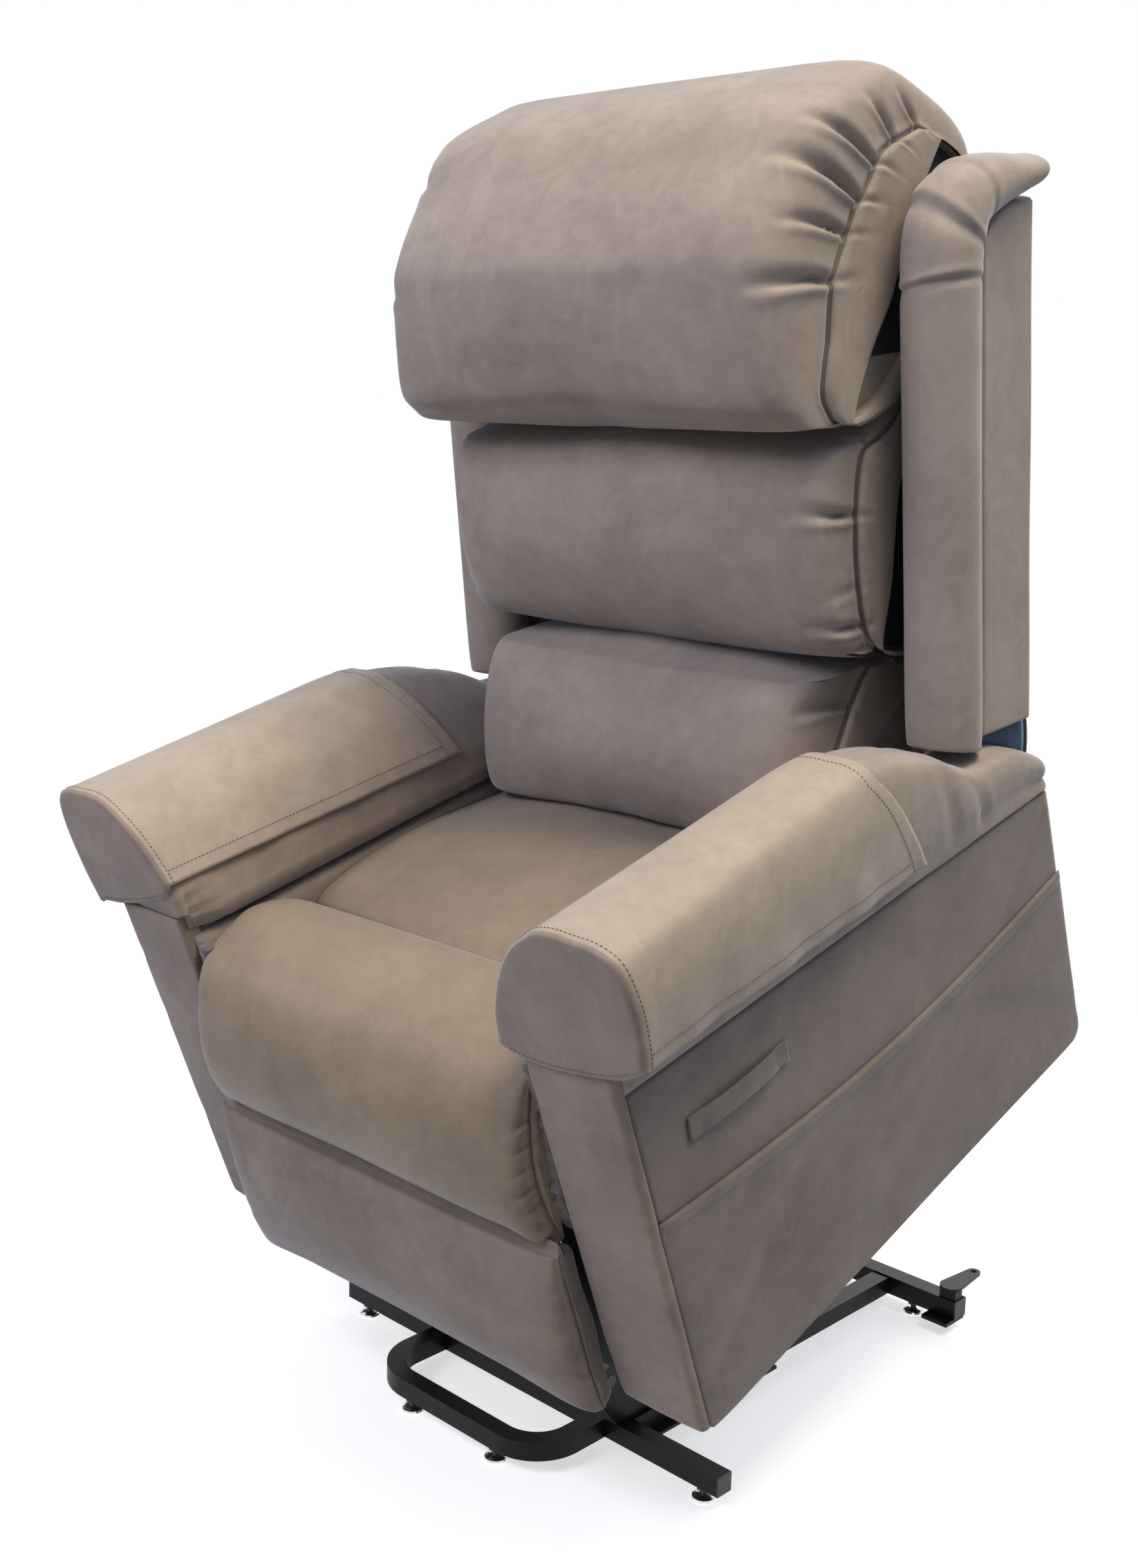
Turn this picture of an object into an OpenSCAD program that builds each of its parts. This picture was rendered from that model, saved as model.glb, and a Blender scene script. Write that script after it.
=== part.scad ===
// Lift recliner chair, shown raised and tipped forward for standing up.
// Millimetres, +Z up, +X to the sitter's left, the sitter faces -Y.
// The origin is on the floor, under the middle of the chair.

/* [Upholstered body] */
// Clear width between the padded insides of the arms
seat_width = 540; // [500:5:580]
// Width of each arm box
arm_width = 126; // [116:2:140]
// Depth of the arms, front to back
body_depth = 744; // [720:4:780]
// Height of the arm top at the front, above the side panel's lower edge
arm_height = 585; // [572:1:600]
// Fall of the arm top towards the back, per metre
arm_fall = 77; // [65:1:90]
// How far the arm roll stands out past the side panel at the front
roll_overhang = 53; // [45:1:58]
// Height of the seam under the arm roll at the front
seam_height = 416; // [408:1:424]
// Fall of that seam towards the back, per metre
seam_fall = 94; // [85:1:105]
// Height of the pocket's hem at the front
pocket_height = 262; // [245:1:275]
// Fall of the pocket's hem towards the back, per metre
pocket_fall = 35; // [0:5:50]
// Sag of the pocket's hem at its middle
pocket_sag = 27; // [0:1:36]
// Thickness of an upholstered arm panel
panel_t = 11; // [8:1:12]

/* [Arm sleeves] */
// Thickness of the loose arm sleeve
sleeve_t = 3.5; // [3:0.5:5]
// Room between the arm roll and its sleeve
sleeve_gap = 2.6; // [2:0.2:4]
// Depth of the sleeve along the arm top
sleeve_depth = 412; // [392:4:432]
// Extra depth of the sleeve's side flap at its hem
flap_extra = 66; // [40:2:80]

/* [Seat] */
// Underside of the seat rails above the side panel's lower edge
seat_rail_z = 245; // [240:1:252]
// Height of the seat rails
seat_rail_h = 40; // [34:1:44]
// Thickness of the seat cushion at its crown
cushion_t = 105; // [97:1:107]
// Distance from the arm fronts back to the sewn seam across the seat
seat_seam_y = 160; // [150:2:176]

/* [Backrest] */
// Lean of the backrest from the upright
back_lean = 13; // [11:0.5:15]
// Recline pivot, forward of the back edge of the arms
pivot_inset = 144; // [138:1:150]
// Height of the recline pivot
pivot_z = 240; // [236:1:244]
// Half width of the head and middle pillows
pillow_half = 297; // [285:1:299]
// Depth of the wings behind the recline pivot
wing_depth = 118; // [113:1:124]
// Radius of the padded wing roll
wing_roll_r = 42; // [38:1:43]
// Height of the backrest box along its lean
back_height = 788; // [776:2:800]

/* [Legrest] */
// Height of the legrest board
legrest_h = 186; // [176:1:190]
// Half width of the legrest pad
legrest_half = 277; // [265:1:280]
// Length of each legrest link between its pivots
link_len = 160; // [156:1:164]

/* [Lift base] */
// Side of the square tube of the front crossbar and loop
front_tube = 23; // [20:1:25]
// Side of the square tube of the rails and rear crossbar
rear_tube = 25; // [22:1:28]
// Wall of every square tube
tube_wall = 2; // [1.5:0.5:3]
// Height of the tubes' underside above the floor
ground_gap = 18; // [16:1:22]
// Half length of the front crossbar
front_half = 316; // [290:2:330]
// Half length of the rear crossbar
rear_half = 276; // [255:2:300]
// Distance from the front crossbar back to the rear crossbar
wheelbase = 528; // [510:2:550]
// Reach of the front loop ahead of the front crossbar
loop_reach = 112; // [95:1:120]
// Half width of the front loop
loop_half = 148; // [140:1:149]
// Corner radius of the front loop
loop_r = 66; // [50:1:75]
// Outer half width of the side rails
rail_half = 172; // [166:1:180]
// Radius of a foot glide
glide_r = 14; // [12:0.5:16]

/* [Lift travel] */
// Forward tilt of the raised chair
tilt = 20; // [16:0.5:22]
// Height of the arm fronts' lower corner when raised
raised_z = 178.7; // [170:0.1:190]
// Height of the side panels' lower edge when lowered
lowered_z = 35; // [32:1:45]

/* [Hidden] */
$fn = 48;

suede = "#a3978b";
suede_dark = "#8d8379";
black_steel = "#1c1d1f";
zinc_steel = "#8b8e90";
plywood = "#c8a878";
chrome = "#c9ccd0";
plastic = "#2b2c2e";

run_clear = 0.05;       // radial running clearance of every pin
touch_gap = 0.5;        // gap between soft pieces and their neighbours
glue = 0.1;             // glue line between butted boards
side_x = seat_width / 2 + arm_width;
roll_in = seat_width / 2 - 12;
plate_x = seat_width / 2 + 14;
plate_t = 4;

// Base frame, front to back
base_y = -133.7;
front_z = ground_gap;
rear_y = base_y + wheelbase;
foot_x = front_half - 29;
loop_foot_x = 72;
rear_foot_x = rear_half - 71;

// Where the body stands when raised and when lowered
raised_y = base_y - 126.6;
lowered_y = base_y - 65;
function turn(p, a) = [p[0] * cos(a) - p[1] * sin(a), p[0] * sin(a) + p[1] * cos(a)];
function raised(p) = turn(p, tilt) + [raised_y, raised_z];
function lowered(p) = p + [lowered_y, lowered_z];
// Pivot on the base at height z whose link carries body point p between both positions
function base_pivot(p, z) =
    let (hi = raised(p), lo = lowered(p), m = (hi + lo) / 2, n = [hi[1] - lo[1], lo[0] - hi[0]])
    m + n * (z - m[1]) / n[1];

arm_pivot_body = [body_depth - 159, 57];
stay_pivot_body = [body_depth - 204, 140];
arm_pivot_z = 100;
stay_pivot_z = 140;
arm_pivot = base_pivot(arm_pivot_body, arm_pivot_z);
stay_pivot = base_pivot(stay_pivot_body, stay_pivot_z);
arm_pivot_top = raised(arm_pivot_body);
stay_pivot_top = raised(stay_pivot_body);
pin_r = 8;
lift_x = 150;
lift_t = 8;
bracket_x = lift_x + lift_t + 2;
bracket_t = 6;
stay_x = bracket_x + bracket_t + 2;
stay_t = 6;
lever_r = 70;
lever_lead = 48;
lift_angle = atan2(arm_pivot_top[1] - arm_pivot[1], arm_pivot_top[0] - arm_pivot[0]);
lever_tip = arm_pivot + lever_r * [cos(lift_angle + lever_lead), sin(lift_angle + lever_lead)];
motor_pivot = [rear_y - 28, 62];
rod_angle = atan2(lever_tip[1] - motor_pivot[1], lever_tip[0] - motor_pivot[0]);
rod_reach = norm(lever_tip - motor_pivot);
motor_pin_r = 6;

// Body pivots and drives
pivot_y = body_depth - pivot_inset;
leg_k = [95, 215];      // legrest drive shaft
leg_m = [5, 150];       // pivot on the legrest bracket
leg_span = norm(leg_k - leg_m);
leg_dir = (leg_m - leg_k) / leg_span;
leg_n = (leg_k + leg_m) / 2 + sqrt(pow(link_len, 2) - pow(leg_span / 2, 2)) * [-leg_dir[1], leg_dir[0]];
leg_pin_r = 6;
link_x = 218;
link_t = 6;
crank_r = 65;
crank_pin = leg_k + crank_r * [cos(-42), sin(-42)];
back_lever = [30, -100];
back_lever_pin = [pivot_y, pivot_z] + back_lever;
drive_x = 75;
slot_half = 9;
track_z = 104;
track_h = 20;
cross_side = 30;
front_cross = [170, 225];
mid_cross = [300, 225];
rear_cross = [body_depth - 119, 80];

// Seat and legrest levels
seat_rail_t = 28;
seat_back_y = body_depth - 179;
seat_top = seat_rail_z + seat_rail_h;
web_t = 2;
cushion_z = seat_top + web_t + touch_gap;
board_t = 8;
legrest_z = 17;
free = 1e4;

// Backrest, in its own leaning frame: y = depth behind the pivot, z = height along the lean
arm_arc = 205;          // the arm's back end follows the wing's sweep
arc_gap = 4;
wing_bottom = 212;
wing_x = seat_width / 2 + 82;
box_x = seat_width / 2 + 65;
back_front = 62;        // front of the inner cover, where the pillows rest
cover_t = 8;
post_x = seat_width / 2 - 42;

// Points of a closed and of an open smooth curve through p, n steps to each span
function spline(a, b, c, d, t) =
    0.5 * (2 * b + (c - a) * t + (2 * a - 5 * b + 4 * c - d) * t * t + (3 * b - a - 3 * c + d) * t * t * t);
function knot(p, i) = p[(i + len(p)) % len(p)];
function closed_curve(p, n) = [
    for (i = [0:len(p) - 1], j = [0:n - 1])
        spline(knot(p, i - 1), knot(p, i), knot(p, i + 1), knot(p, i + 2), j / n)
];
function open_curve(p, n) = concat(
    [for (i = [0:len(p) - 2], j = [0:n - 1])
        spline(p[max(i - 1, 0)], p[i], p[i + 1], p[min(i + 2, len(p) - 1)], j / n)],
    [p[len(p) - 1]]
);
function middle(r) = r * [for (i = r) 1] / len(r);
function mean(r) = [for (k = [0:2]) middle([for (q = r) q[k]])];

// Closed skin over rings of equal length; each end is a fan about a point set in by dish
module loft(rings, dish = 0, flip = false) {
    n = len(rings[0]);
    m = len(rings);
    a = mean(rings[0]);
    b = mean(rings[m - 1]);
    a_in = (mean(rings[1]) - a) / norm(mean(rings[1]) - a);
    b_in = (mean(rings[m - 2]) - b) / norm(mean(rings[m - 2]) - b);
    sides = [for (i = [0:m - 2], j = [0:n - 1]) let (k = (j + 1) % n)
        each [[i * n + j, (i + 1) * n + k, i * n + k], [i * n + j, (i + 1) * n + j, (i + 1) * n + k]]];
    ends = [for (j = [0:n - 1]) let (k = (j + 1) % n)
        each [[m * n, j, k], [m * n + 1, (m - 1) * n + k, (m - 1) * n + j]]];
    faces = concat(sides, ends);
    polyhedron(
        concat([for (r = rings) each r], [a + dish * a_in, b + dish * b_in]),
        flip ? [for (f = faces) [f[0], f[2], f[1]]] : faces
    );
}

// Smooth outline through p held inside the limits low and high
function held(p, low, high) = [for (q = closed_curve(p, 2)) [
    max(low[0], min(high[0], q[0])), max(low[1], min(high[1], q[1]))
]];

// Cushion across X: outline is its shape from the side, root the point its ends draw in to;
// end_low is how far the part below the root keeps its height
module cushion(outline, root, half, end_depth, end_height, dish = 6, end_low = 0.97, stations = 12) {
    loft([for (i = [0:stations])
        let (u = sin(90 * (2 * i / stations - 1)), s = pow(max(0, 1 - pow(abs(u), 12)), 0.25))
        let (kd = end_depth + (1 - end_depth) * s, kh = end_height + (1 - end_height) * s)
        let (kl = end_low + (1 - end_low) * s)
        [for (q = outline) [
            half * u, root[0] + (q[0] - root[0]) * kd, root[1] + (q[1] - root[1]) * (q[1] > root[1] ? kh : kl)
        ]]
    ], dish);
}

module pair() {
    children();
    mirror([1, 0, 0]) children();
}

// Frames of the raised body and of the backrest
module on_body() translate([0, raised_y, raised_z]) rotate([tilt, 0, 0]) children();
module on_back() on_body() translate([0, pivot_y, pivot_z]) rotate([-back_lean, 0, 0]) children();

// Rod along X at p = [y, z]
module rod_x(p, r, x0, x1) translate([x0, p[0], p[1]]) rotate([0, 90, 0]) cylinder(r = r, h = x1 - x0);

// Plate of thickness x1 - x0 with outline points [y, z]
module plate_x(outline, x0, x1) translate([x0, 0, 0]) rotate([90, 0, 90])
    linear_extrude(x1 - x0) polygon(outline);

// Flat bar with round ends between two pivots, in a plane of constant X
module bar_x(p, q, w, x0, x1) {
    d = (q - p) / norm(q - p);
    s = [-d[1], d[0]] * w;
    plate_x([p + s, p - s, q - s, q + s], x0, x1);
    rod_x(p, w, x0, x1);
    rod_x(q, w, x0, x1);
}

// Square tube along X between walls x0 and x1, with its lower front corner at [y, z]
module tube_x(side, x0, x1, y, z) difference() {
    translate([x0, y, z]) cube([x1 - x0, side, side]);
    translate([x0 - 1, y + tube_wall, z + tube_wall])
        cube([x1 - x0 + 2, side - 2 * tube_wall, side - 2 * tube_wall]);
}

// ---- Lift base ----

cap_t = 2;
module front_crossbar() color(black_steel)
    tube_x(front_tube, -front_half + cap_t, front_half - cap_t, base_y, front_z);

// Section of the square front tube about its own centre
module tube_section() difference() {
    square(front_tube, center = true);
    square(front_tube - 2 * tube_wall, center = true);
}
// U-shaped tube ahead of the front crossbar, with rounded corners
module front_loop() color(black_steel) {
    mid_r = loop_r - front_tube / 2;
    corner_y = base_y - loop_reach + loop_r;
    translate([0, 0, front_z + front_tube / 2]) {
        pair() {
            translate([loop_half - front_tube / 2, base_y, 0]) rotate([90, 0, 0])
                linear_extrude(base_y - corner_y) tube_section();
            translate([loop_half - loop_r, corner_y, 0]) rotate([0, 0, -90])
                rotate_extrude(angle = 90) translate([mid_r, 0]) tube_section();
        }
        translate([-loop_half + loop_r, base_y - loop_reach + front_tube / 2, 0]) rotate([90, 0, 90])
            linear_extrude(2 * (loop_half - loop_r)) tube_section();
    }
}

module side_rails() color(black_steel) pair() difference() {
    translate([rail_half - rear_tube, base_y + front_tube, front_z])
        cube([rear_tube, wheelbase - front_tube, front_tube]);
    translate([rail_half - rear_tube + tube_wall, base_y + front_tube - 1, front_z + tube_wall])
        cube([rear_tube - 2 * tube_wall, wheelbase - front_tube + 2, front_tube - 2 * tube_wall]);
}

module rear_crossbar() color(black_steel)
    tube_x(rear_tube, -rear_half + cap_t, rear_half - cap_t, rear_y, front_z);

// A plug with a flat head for each open end of the crossbars
module tube_end_caps() color(plastic) pair() {
    for (t = [[front_tube, front_half, base_y], [rear_tube, rear_half, rear_y]]) {
        translate([t[1] - cap_t, t[2], front_z]) cube([cap_t, t[0], t[0]]);
        translate([t[1] - 14, t[2] + tube_wall + run_clear, front_z + tube_wall + run_clear])
            cube([13, t[0] - 2 * (tube_wall + run_clear), t[0] - 2 * (tube_wall + run_clear)]);
    }
}

// Stiffening strips under the rails and pads under the ends of the rear crossbar
module base_plates() color(black_steel) pair() {
    translate([rail_half - 22, base_y + 30, front_z - 4]) cube([36, 240, 4]);
    translate([rear_half - 40, rear_y - 16, front_z - 5]) cube([38, rear_tube + 16, 5]);
}

ear_t = 4;
ear_rise = 14;
ear_x = rear_half - 14;
ear_tip = rear_tube + 38;
ear_hole_r = 4;
// Pierced ears on the ends of the rear crossbar
module rear_ear_brackets() color(black_steel) pair() translate([ear_x, rear_y, front_z + rear_tube]) {
    translate([-12, 2, 0]) cube([24, 16, ear_rise]);
    translate([0, 0, ear_rise]) difference() {
        linear_extrude(ear_t) union() {
            translate([0, 10]) circle(15);
            translate([0, ear_tip]) circle(9);
            polygon([[-15, 10], [15, 10], [9, ear_tip], [-9, ear_tip]]);
        }
        translate([0, ear_tip, -1]) cylinder(r = ear_hole_r, h = ear_t + 2);
    }
}

// Upright brackets that carry the lift arms and stays on the front of the base
module lift_brackets() color(black_steel) pair() difference() {
    plate_x([
        [base_y, front_z + front_tube], [base_y + 70, front_z + front_tube],
        [arm_pivot[0] + 26, arm_pivot[1] + 6], [stay_pivot[0] + 17, stay_pivot[1] + 8],
        [stay_pivot[0] + 6, stay_pivot[1] + 17], [stay_pivot[0] - 10, stay_pivot[1] + 15],
        [stay_pivot[0] - 17, stay_pivot[1] - 4], [arm_pivot[0] - 18, arm_pivot[1] - 12]
    ], bracket_x, bracket_x + bracket_t);
    rod_x(arm_pivot, pin_r + run_clear, bracket_x - 1, bracket_x + bracket_t + 1);
    rod_x(stay_pivot, pin_r + run_clear, bracket_x - 1, bracket_x + bracket_t + 1);
}

head_t = 3;
// Headed pins through the bracket: one runs in the lift arm, one in the stay
module lift_bracket_pins() color(zinc_steel) pair() {
    rod_x(arm_pivot, pin_r, lift_x - 2, bracket_x + bracket_t + 0.5);
    rod_x(arm_pivot, pin_r + 4, lift_x - 2 - head_t, lift_x - 1);
    rod_x(stay_pivot, pin_r, bracket_x - 0.5, stay_x + stay_t + 1);
    rod_x(stay_pivot, pin_r + 4, stay_x + stay_t + 0.5, stay_x + stay_t + 0.5 + head_t);
}

clevis_in = 19;
clevis_t = 6;
module motor_clevis() color(black_steel) {
    pair() difference() {
        plate_x([
            [motor_pivot[0] - 14, motor_pivot[1] - 4], [motor_pivot[0] - 8, motor_pivot[1] + 13],
            [motor_pivot[0] + 8, motor_pivot[1] + 13], [rear_y + rear_tube, front_z + rear_tube],
            [rear_y, front_z + rear_tube], [rear_y, front_z + 4], [motor_pivot[0] - 4, motor_pivot[1] - 16]
        ], clevis_in, clevis_in + clevis_t);
        rod_x(motor_pivot, motor_pin_r + run_clear, clevis_in - 1, clevis_in + clevis_t + 1);
    }
    rod_x(motor_pivot, motor_pin_r, -clevis_in - clevis_t - 2, clevis_in + clevis_t + 2);
    pair() rod_x(motor_pivot, motor_pin_r + 3, clevis_in + clevis_t + 0.1, clevis_in + clevis_t + head_t);
}

foot_places = [[foot_x, base_y + front_tube / 2], [loop_foot_x, base_y - loop_reach + front_tube / 2],
    [rear_foot_x, rear_y + rear_tube / 2]];
glide_h = 7;
module foot_stems() color(plastic) pair() for (p = foot_places) translate([p[0], p[1], glide_h]) {
    cylinder(r = 4, h = ground_gap - glide_h);
    translate([0, 0, ground_gap - glide_h - 6]) cylinder(r = 8, h = 6, $fn = 6);
}
// Domed steel glides
module foot_glides() color(chrome) pair() for (p = foot_places) translate([p[0], p[1], 0]) rotate_extrude()
    polygon([
        [0, 0], [glide_r - 3, 0], [glide_r, 2], [glide_r - 1, 4], [glide_r - 5, 6.2], [5, glide_h],
        [0, glide_h]
    ]);

// ---- Lift arms, stays and lift drive ----

// Two long arms, welded to the ends of the torque tube
module lift_arms() color(black_steel) pair() difference() {
    bar_x(arm_pivot, arm_pivot_top, 18, lift_x, lift_x + lift_t);
    rod_x(arm_pivot, pin_r + run_clear, lift_x - 1, lift_x + lift_t + 1);
    rod_x(arm_pivot_top, pin_r + run_clear, lift_x - 1, lift_x + lift_t + 1);
}

// Torque tube with the twin lever that the lift drive pushes
module lift_torque_tube() color(black_steel) {
    difference() {
        rod_x(arm_pivot, 17, -lift_x, lift_x);
        rod_x(arm_pivot, 13.5, -lift_x - 1, lift_x + 1);
    }
    difference() {
        pair() bar_x(arm_pivot, lever_tip, 13, 6, 12);
        rod_x(arm_pivot, 15, -13, 13);
    }
    rod_x(lever_tip, 7, -14, 14);
}

module stay_links() color(black_steel) pair() difference() {
    bar_x(stay_pivot, stay_pivot_top, 15, stay_x, stay_x + stay_t);
    rod_x(stay_pivot, pin_r + run_clear, stay_x - 1, stay_x + stay_t + 1);
    rod_x(stay_pivot_top, pin_r + 2, stay_x - 1, stay_x + stay_t + 1);
}

// The lift drive lies along its own axis from the clevis to the lever
module on_drive() translate([0, motor_pivot[0], motor_pivot[1]]) rotate([rod_angle, 0, 0]) children();
rod_r = 10;
drive_tube_r = 17;
drive_tube_end = 330;
module lift_motor_housing() color(plastic) on_drive() difference() {
    union() {
        rotate([0, 90, 0]) translate([0, 0, -14]) cylinder(r = 14, h = 28);
        translate([-14, 0, -14]) cube([28, 30, 28]);
        translate([-30, 30, -26]) cube([60, 66, 52]);
        translate([0, 95, 0]) rotate([-90, 0, 0]) cylinder(r = drive_tube_r, h = drive_tube_end - 95);
        translate([18, 96, 0]) rotate([-90, 0, 0]) cylinder(r = 12, h = 1);
        translate([-22, 78, -26]) rotate([0, 0, 0]) cube([44, 18, 1]);
        translate([0, 62, 26]) rotate([-90, 0, 0]) cylinder(r = 19, h = 110);
    }
    rod_x([0, 0], motor_pin_r + run_clear, -15, 15);
    translate([0, 120, 0]) rotate([-90, 0, 0]) cylinder(r = rod_r + run_clear, h = drive_tube_end);
}

fork_play = 5.5;
module lift_rod() color(zinc_steel) on_drive() {
    translate([0, 200, 0]) rotate([-90, 0, 0]) cylinder(r = rod_r, h = rod_reach - 222);
    difference() {
        translate([-4.5, rod_reach - 24, -20]) cube([9, 42, 40]);
        translate([-6, rod_reach - 9, -7 - fork_play]) cube([12, 18, 14 + 2 * fork_play]);
    }
}

// ---- Chassis ----

module side_plates() color(zinc_steel) on_body() pair() difference() {
    plate_x([
        [34, 14], [150, 14], [300, 70], [body_depth - 184, 34], [body_depth - 84, 34], [body_depth - 64, 60],
        [body_depth - 64, 225], [pivot_y + 34, pivot_z + 24], [pivot_y - 30, pivot_z + 24],
        [pivot_y - 60, seat_rail_z - 6], [60, seat_rail_z - 6], [34, 180]
    ], plate_x, plate_x + plate_t);
    rod_x([pivot_y, pivot_z], pin_r + run_clear, plate_x - 1, plate_x + plate_t + 1);
    rod_x(leg_k, pin_r + run_clear, plate_x - 1, plate_x + plate_t + 1);
}

module cross_tubes() color(black_steel) on_body() for (p = [front_cross, mid_cross, rear_cross])
    tube_x(cross_side, -plate_x, plate_x, p[0] - cross_side / 2, p[1] - cross_side / 2);

lug_t = 6;
lug_front = rear_cross[0] - cross_side / 2;
stay_lug_x = stay_x + stay_t + 1;
// Lugs under the rear tube for the lift arms and under the rear seat rail for the stays
module pivot_lugs() color(black_steel) on_body() pair() {
    for (x = [lift_x - 1 - lug_t, lift_x + lift_t + 1]) difference() {
        plate_x([
            [arm_pivot_body[0] - 16, arm_pivot_body[1] - 8], [arm_pivot_body[0] - 6, arm_pivot_body[1] - 16],
            [arm_pivot_body[0] + 8, arm_pivot_body[1] - 16], [lug_front, rear_cross[1] - 15],
            [lug_front, rear_cross[1] + 15], [arm_pivot_body[0] - 8, arm_pivot_body[1] + 16]
        ], x, x + lug_t);
        rod_x(arm_pivot_body, pin_r + run_clear, x - 1, x + lug_t + 1);
    }
    difference() {
        plate_x([
            [stay_pivot_body[0] - 16, stay_pivot_body[1] - 10], [stay_pivot_body[0], stay_pivot_body[1] - 17],
            [stay_pivot_body[0] + 16, stay_pivot_body[1] - 10], [seat_back_y, seat_rail_z],
            [seat_back_y - seat_rail_t, seat_rail_z]
        ], stay_lug_x, stay_lug_x + lug_t);
        rod_x(stay_pivot_body, pin_r + run_clear, stay_lug_x - 1, stay_lug_x + lug_t + 1);
    }
}

back_plate_t = 6;
back_plate_x = post_x + 25;
module chassis_pivot_pins() color(zinc_steel) on_body() pair() {
    rod_x(arm_pivot_body, pin_r, lift_x - 1.5 - lug_t, lift_x + lift_t + 1.5 + lug_t);
    rod_x(stay_pivot_body, pin_r, stay_x - 1, stay_lug_x + lug_t + 0.5);
    rod_x(stay_pivot_body, pin_r + 3, stay_lug_x + lug_t + 0.1, stay_lug_x + lug_t + 0.1 + head_t);
    rod_x([pivot_y, pivot_z], pin_r, back_plate_x - 1, plate_x + plate_t);
}

// Four rails, butted with a glue line between them
module seat_frame() color(plywood) on_body() translate([0, 0, seat_rail_z]) {
    pair() translate([seat_width / 2 - 12 - seat_rail_t, 20, 0])
        cube([seat_rail_t, seat_back_y - 20, seat_rail_h]);
    for (y = [20, seat_back_y - seat_rail_t])
        translate([-seat_width / 2 + 12 + seat_rail_t + glue, y, 0])
            cube([seat_width - 24 - 2 * (seat_rail_t + glue), seat_rail_t, seat_rail_h]);
}

// Elastic webbing stretched over the seat rails both ways
web_w = 50;
web_across = 5;
web_along = 4;
module seat_webbing() color("#3a3a3c") on_body() translate([0, 0, seat_top]) {
    for (i = [0:web_across - 1])
        translate([-seat_width / 2 + 14, 30 + i * (seat_back_y - 110) / (web_across - 1), 0])
            cube([seat_width - 28, web_w, web_t]);
    for (i = [0:web_along - 1])
        translate([-seat_width / 2 + 60 + i * (seat_width - 120 - web_w) / (web_along - 1), 22, 0])
            cube([web_w, seat_back_y - 24, web_t]);
}

box_y = mid_cross[0] + cross_side / 2;
box_size = [90, 84, 34];
box_left = 74 - plate_x;
box_low = seat_rail_z - 2 - box_size[2];
module control_box() color(plastic) on_body() translate([box_left, box_y, box_low]) cube(box_size);

inlet_r = 2.75;
inlet_len = 12;
// Low-voltage inlet under the control box
module power_inlet() color(plastic) on_body()
    translate([box_left + box_size[0] - 20, box_y + box_size[1] / 2, box_low]) rotate([180, 0, 0])
        difference() {
            cylinder(r = 7, h = inlet_len + 2);
            translate([0, 0, 2]) cylinder(r = inlet_r, h = inlet_len + 1);
        }

// Gear motor with a track along Y; gear is the y of its gearbox, from and to are the track's ends
module track_motor(x, gear, from, to) {
    translate([x - 13, from, track_z]) cube([26, to - from, track_h]);
    translate([x - 24, gear, track_z - 14]) cube([48, 60, 48]);
    rod_x([gear + 30, track_z + 34], 20, x - 38, x + 38);
}
hanger_w = 20;
module recline_motor() color(plastic) on_body() {
    track_motor(-drive_x, mid_cross[0] - 30, mid_cross[0] + 25, back_lever_pin[0] + 34);
    translate([-drive_x - hanger_w / 2, mid_cross[0] - 10, track_z + 50])
        cube([hanger_w, 20, mid_cross[1] - cross_side / 2 - track_z - 50]);
    translate([-drive_x - 13, back_lever_pin[0] - 15, rear_cross[1] + cross_side / 2]) cube([26, 49, 3]);
    translate([-drive_x - 13, back_lever_pin[0] + 24, rear_cross[1] + cross_side / 2])
        cube([26, 10, track_z - rear_cross[1] - cross_side / 2]);
}
module legrest_motor() color(plastic) on_body() {
    track_motor(drive_x, mid_cross[0] - 30, 22, mid_cross[0] - 25);
    translate([drive_x - hanger_w / 2, mid_cross[0] - 10, track_z + 50])
        cube([hanger_w, 20, mid_cross[1] - cross_side / 2 - track_z - 50]);
}

// Saddle that slides on a track; its slotted cheeks carry the crank pin from z = low to high
module carriage(x, pin_y, low, high) difference() {
    translate([x - 19, pin_y - 22, track_z - 5]) cube([38, 44, high - track_z + 16]);
    translate([x - 13.3, pin_y - 23, track_z - 0.3]) cube([26.6, 46, track_h + 0.6]);
    translate([x - 6, pin_y - 23, track_z + track_h - 1]) cube([12, 46, high]);
    translate([x - 20, pin_y - slot_half, low - 7]) cube([40, 2 * slot_half, high - low + 14]);
}
module recline_carriage() color(zinc_steel) on_body()
    carriage(-drive_x, back_lever_pin[0], pivot_z - norm(back_lever), back_lever_pin[1] + 2);
module legrest_carriage() color(zinc_steel) on_body()
    carriage(drive_x, crank_pin[0], leg_k[1] - crank_r, crank_pin[1]);

// ---- Arms ----

function arm_line(y) = arm_height - arm_fall * y / 1000;
function seam(y) = seam_height - seam_fall * y / 1000;
blend_y = 330;
// Top of the arm: a straight fall, then down to the arc that the wing sweeps over
function arm_top(y) =
    let (arc = pivot_z + sqrt(pow(arm_arc, 2) - pow(max(0, y - pivot_y), 2)), line = arm_line(y))
    y >= pivot_y ? arc : line + (arc - line) * pow(max(0, y - blend_y) / (pivot_y - blend_y), 2.7);
function roll_out(y) = side_x + 4 + (roll_overhang - 4) * (1 - y / body_depth);

// Sides of the arm roll as fractions of its width, t up from the seam
function in_side(t) = [0.5 * pow(max(0, t - 0.15), 1.6), t];
function out_side(t) = [1 - 0.18 * max(0, 0.55 - t), t];
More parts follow.
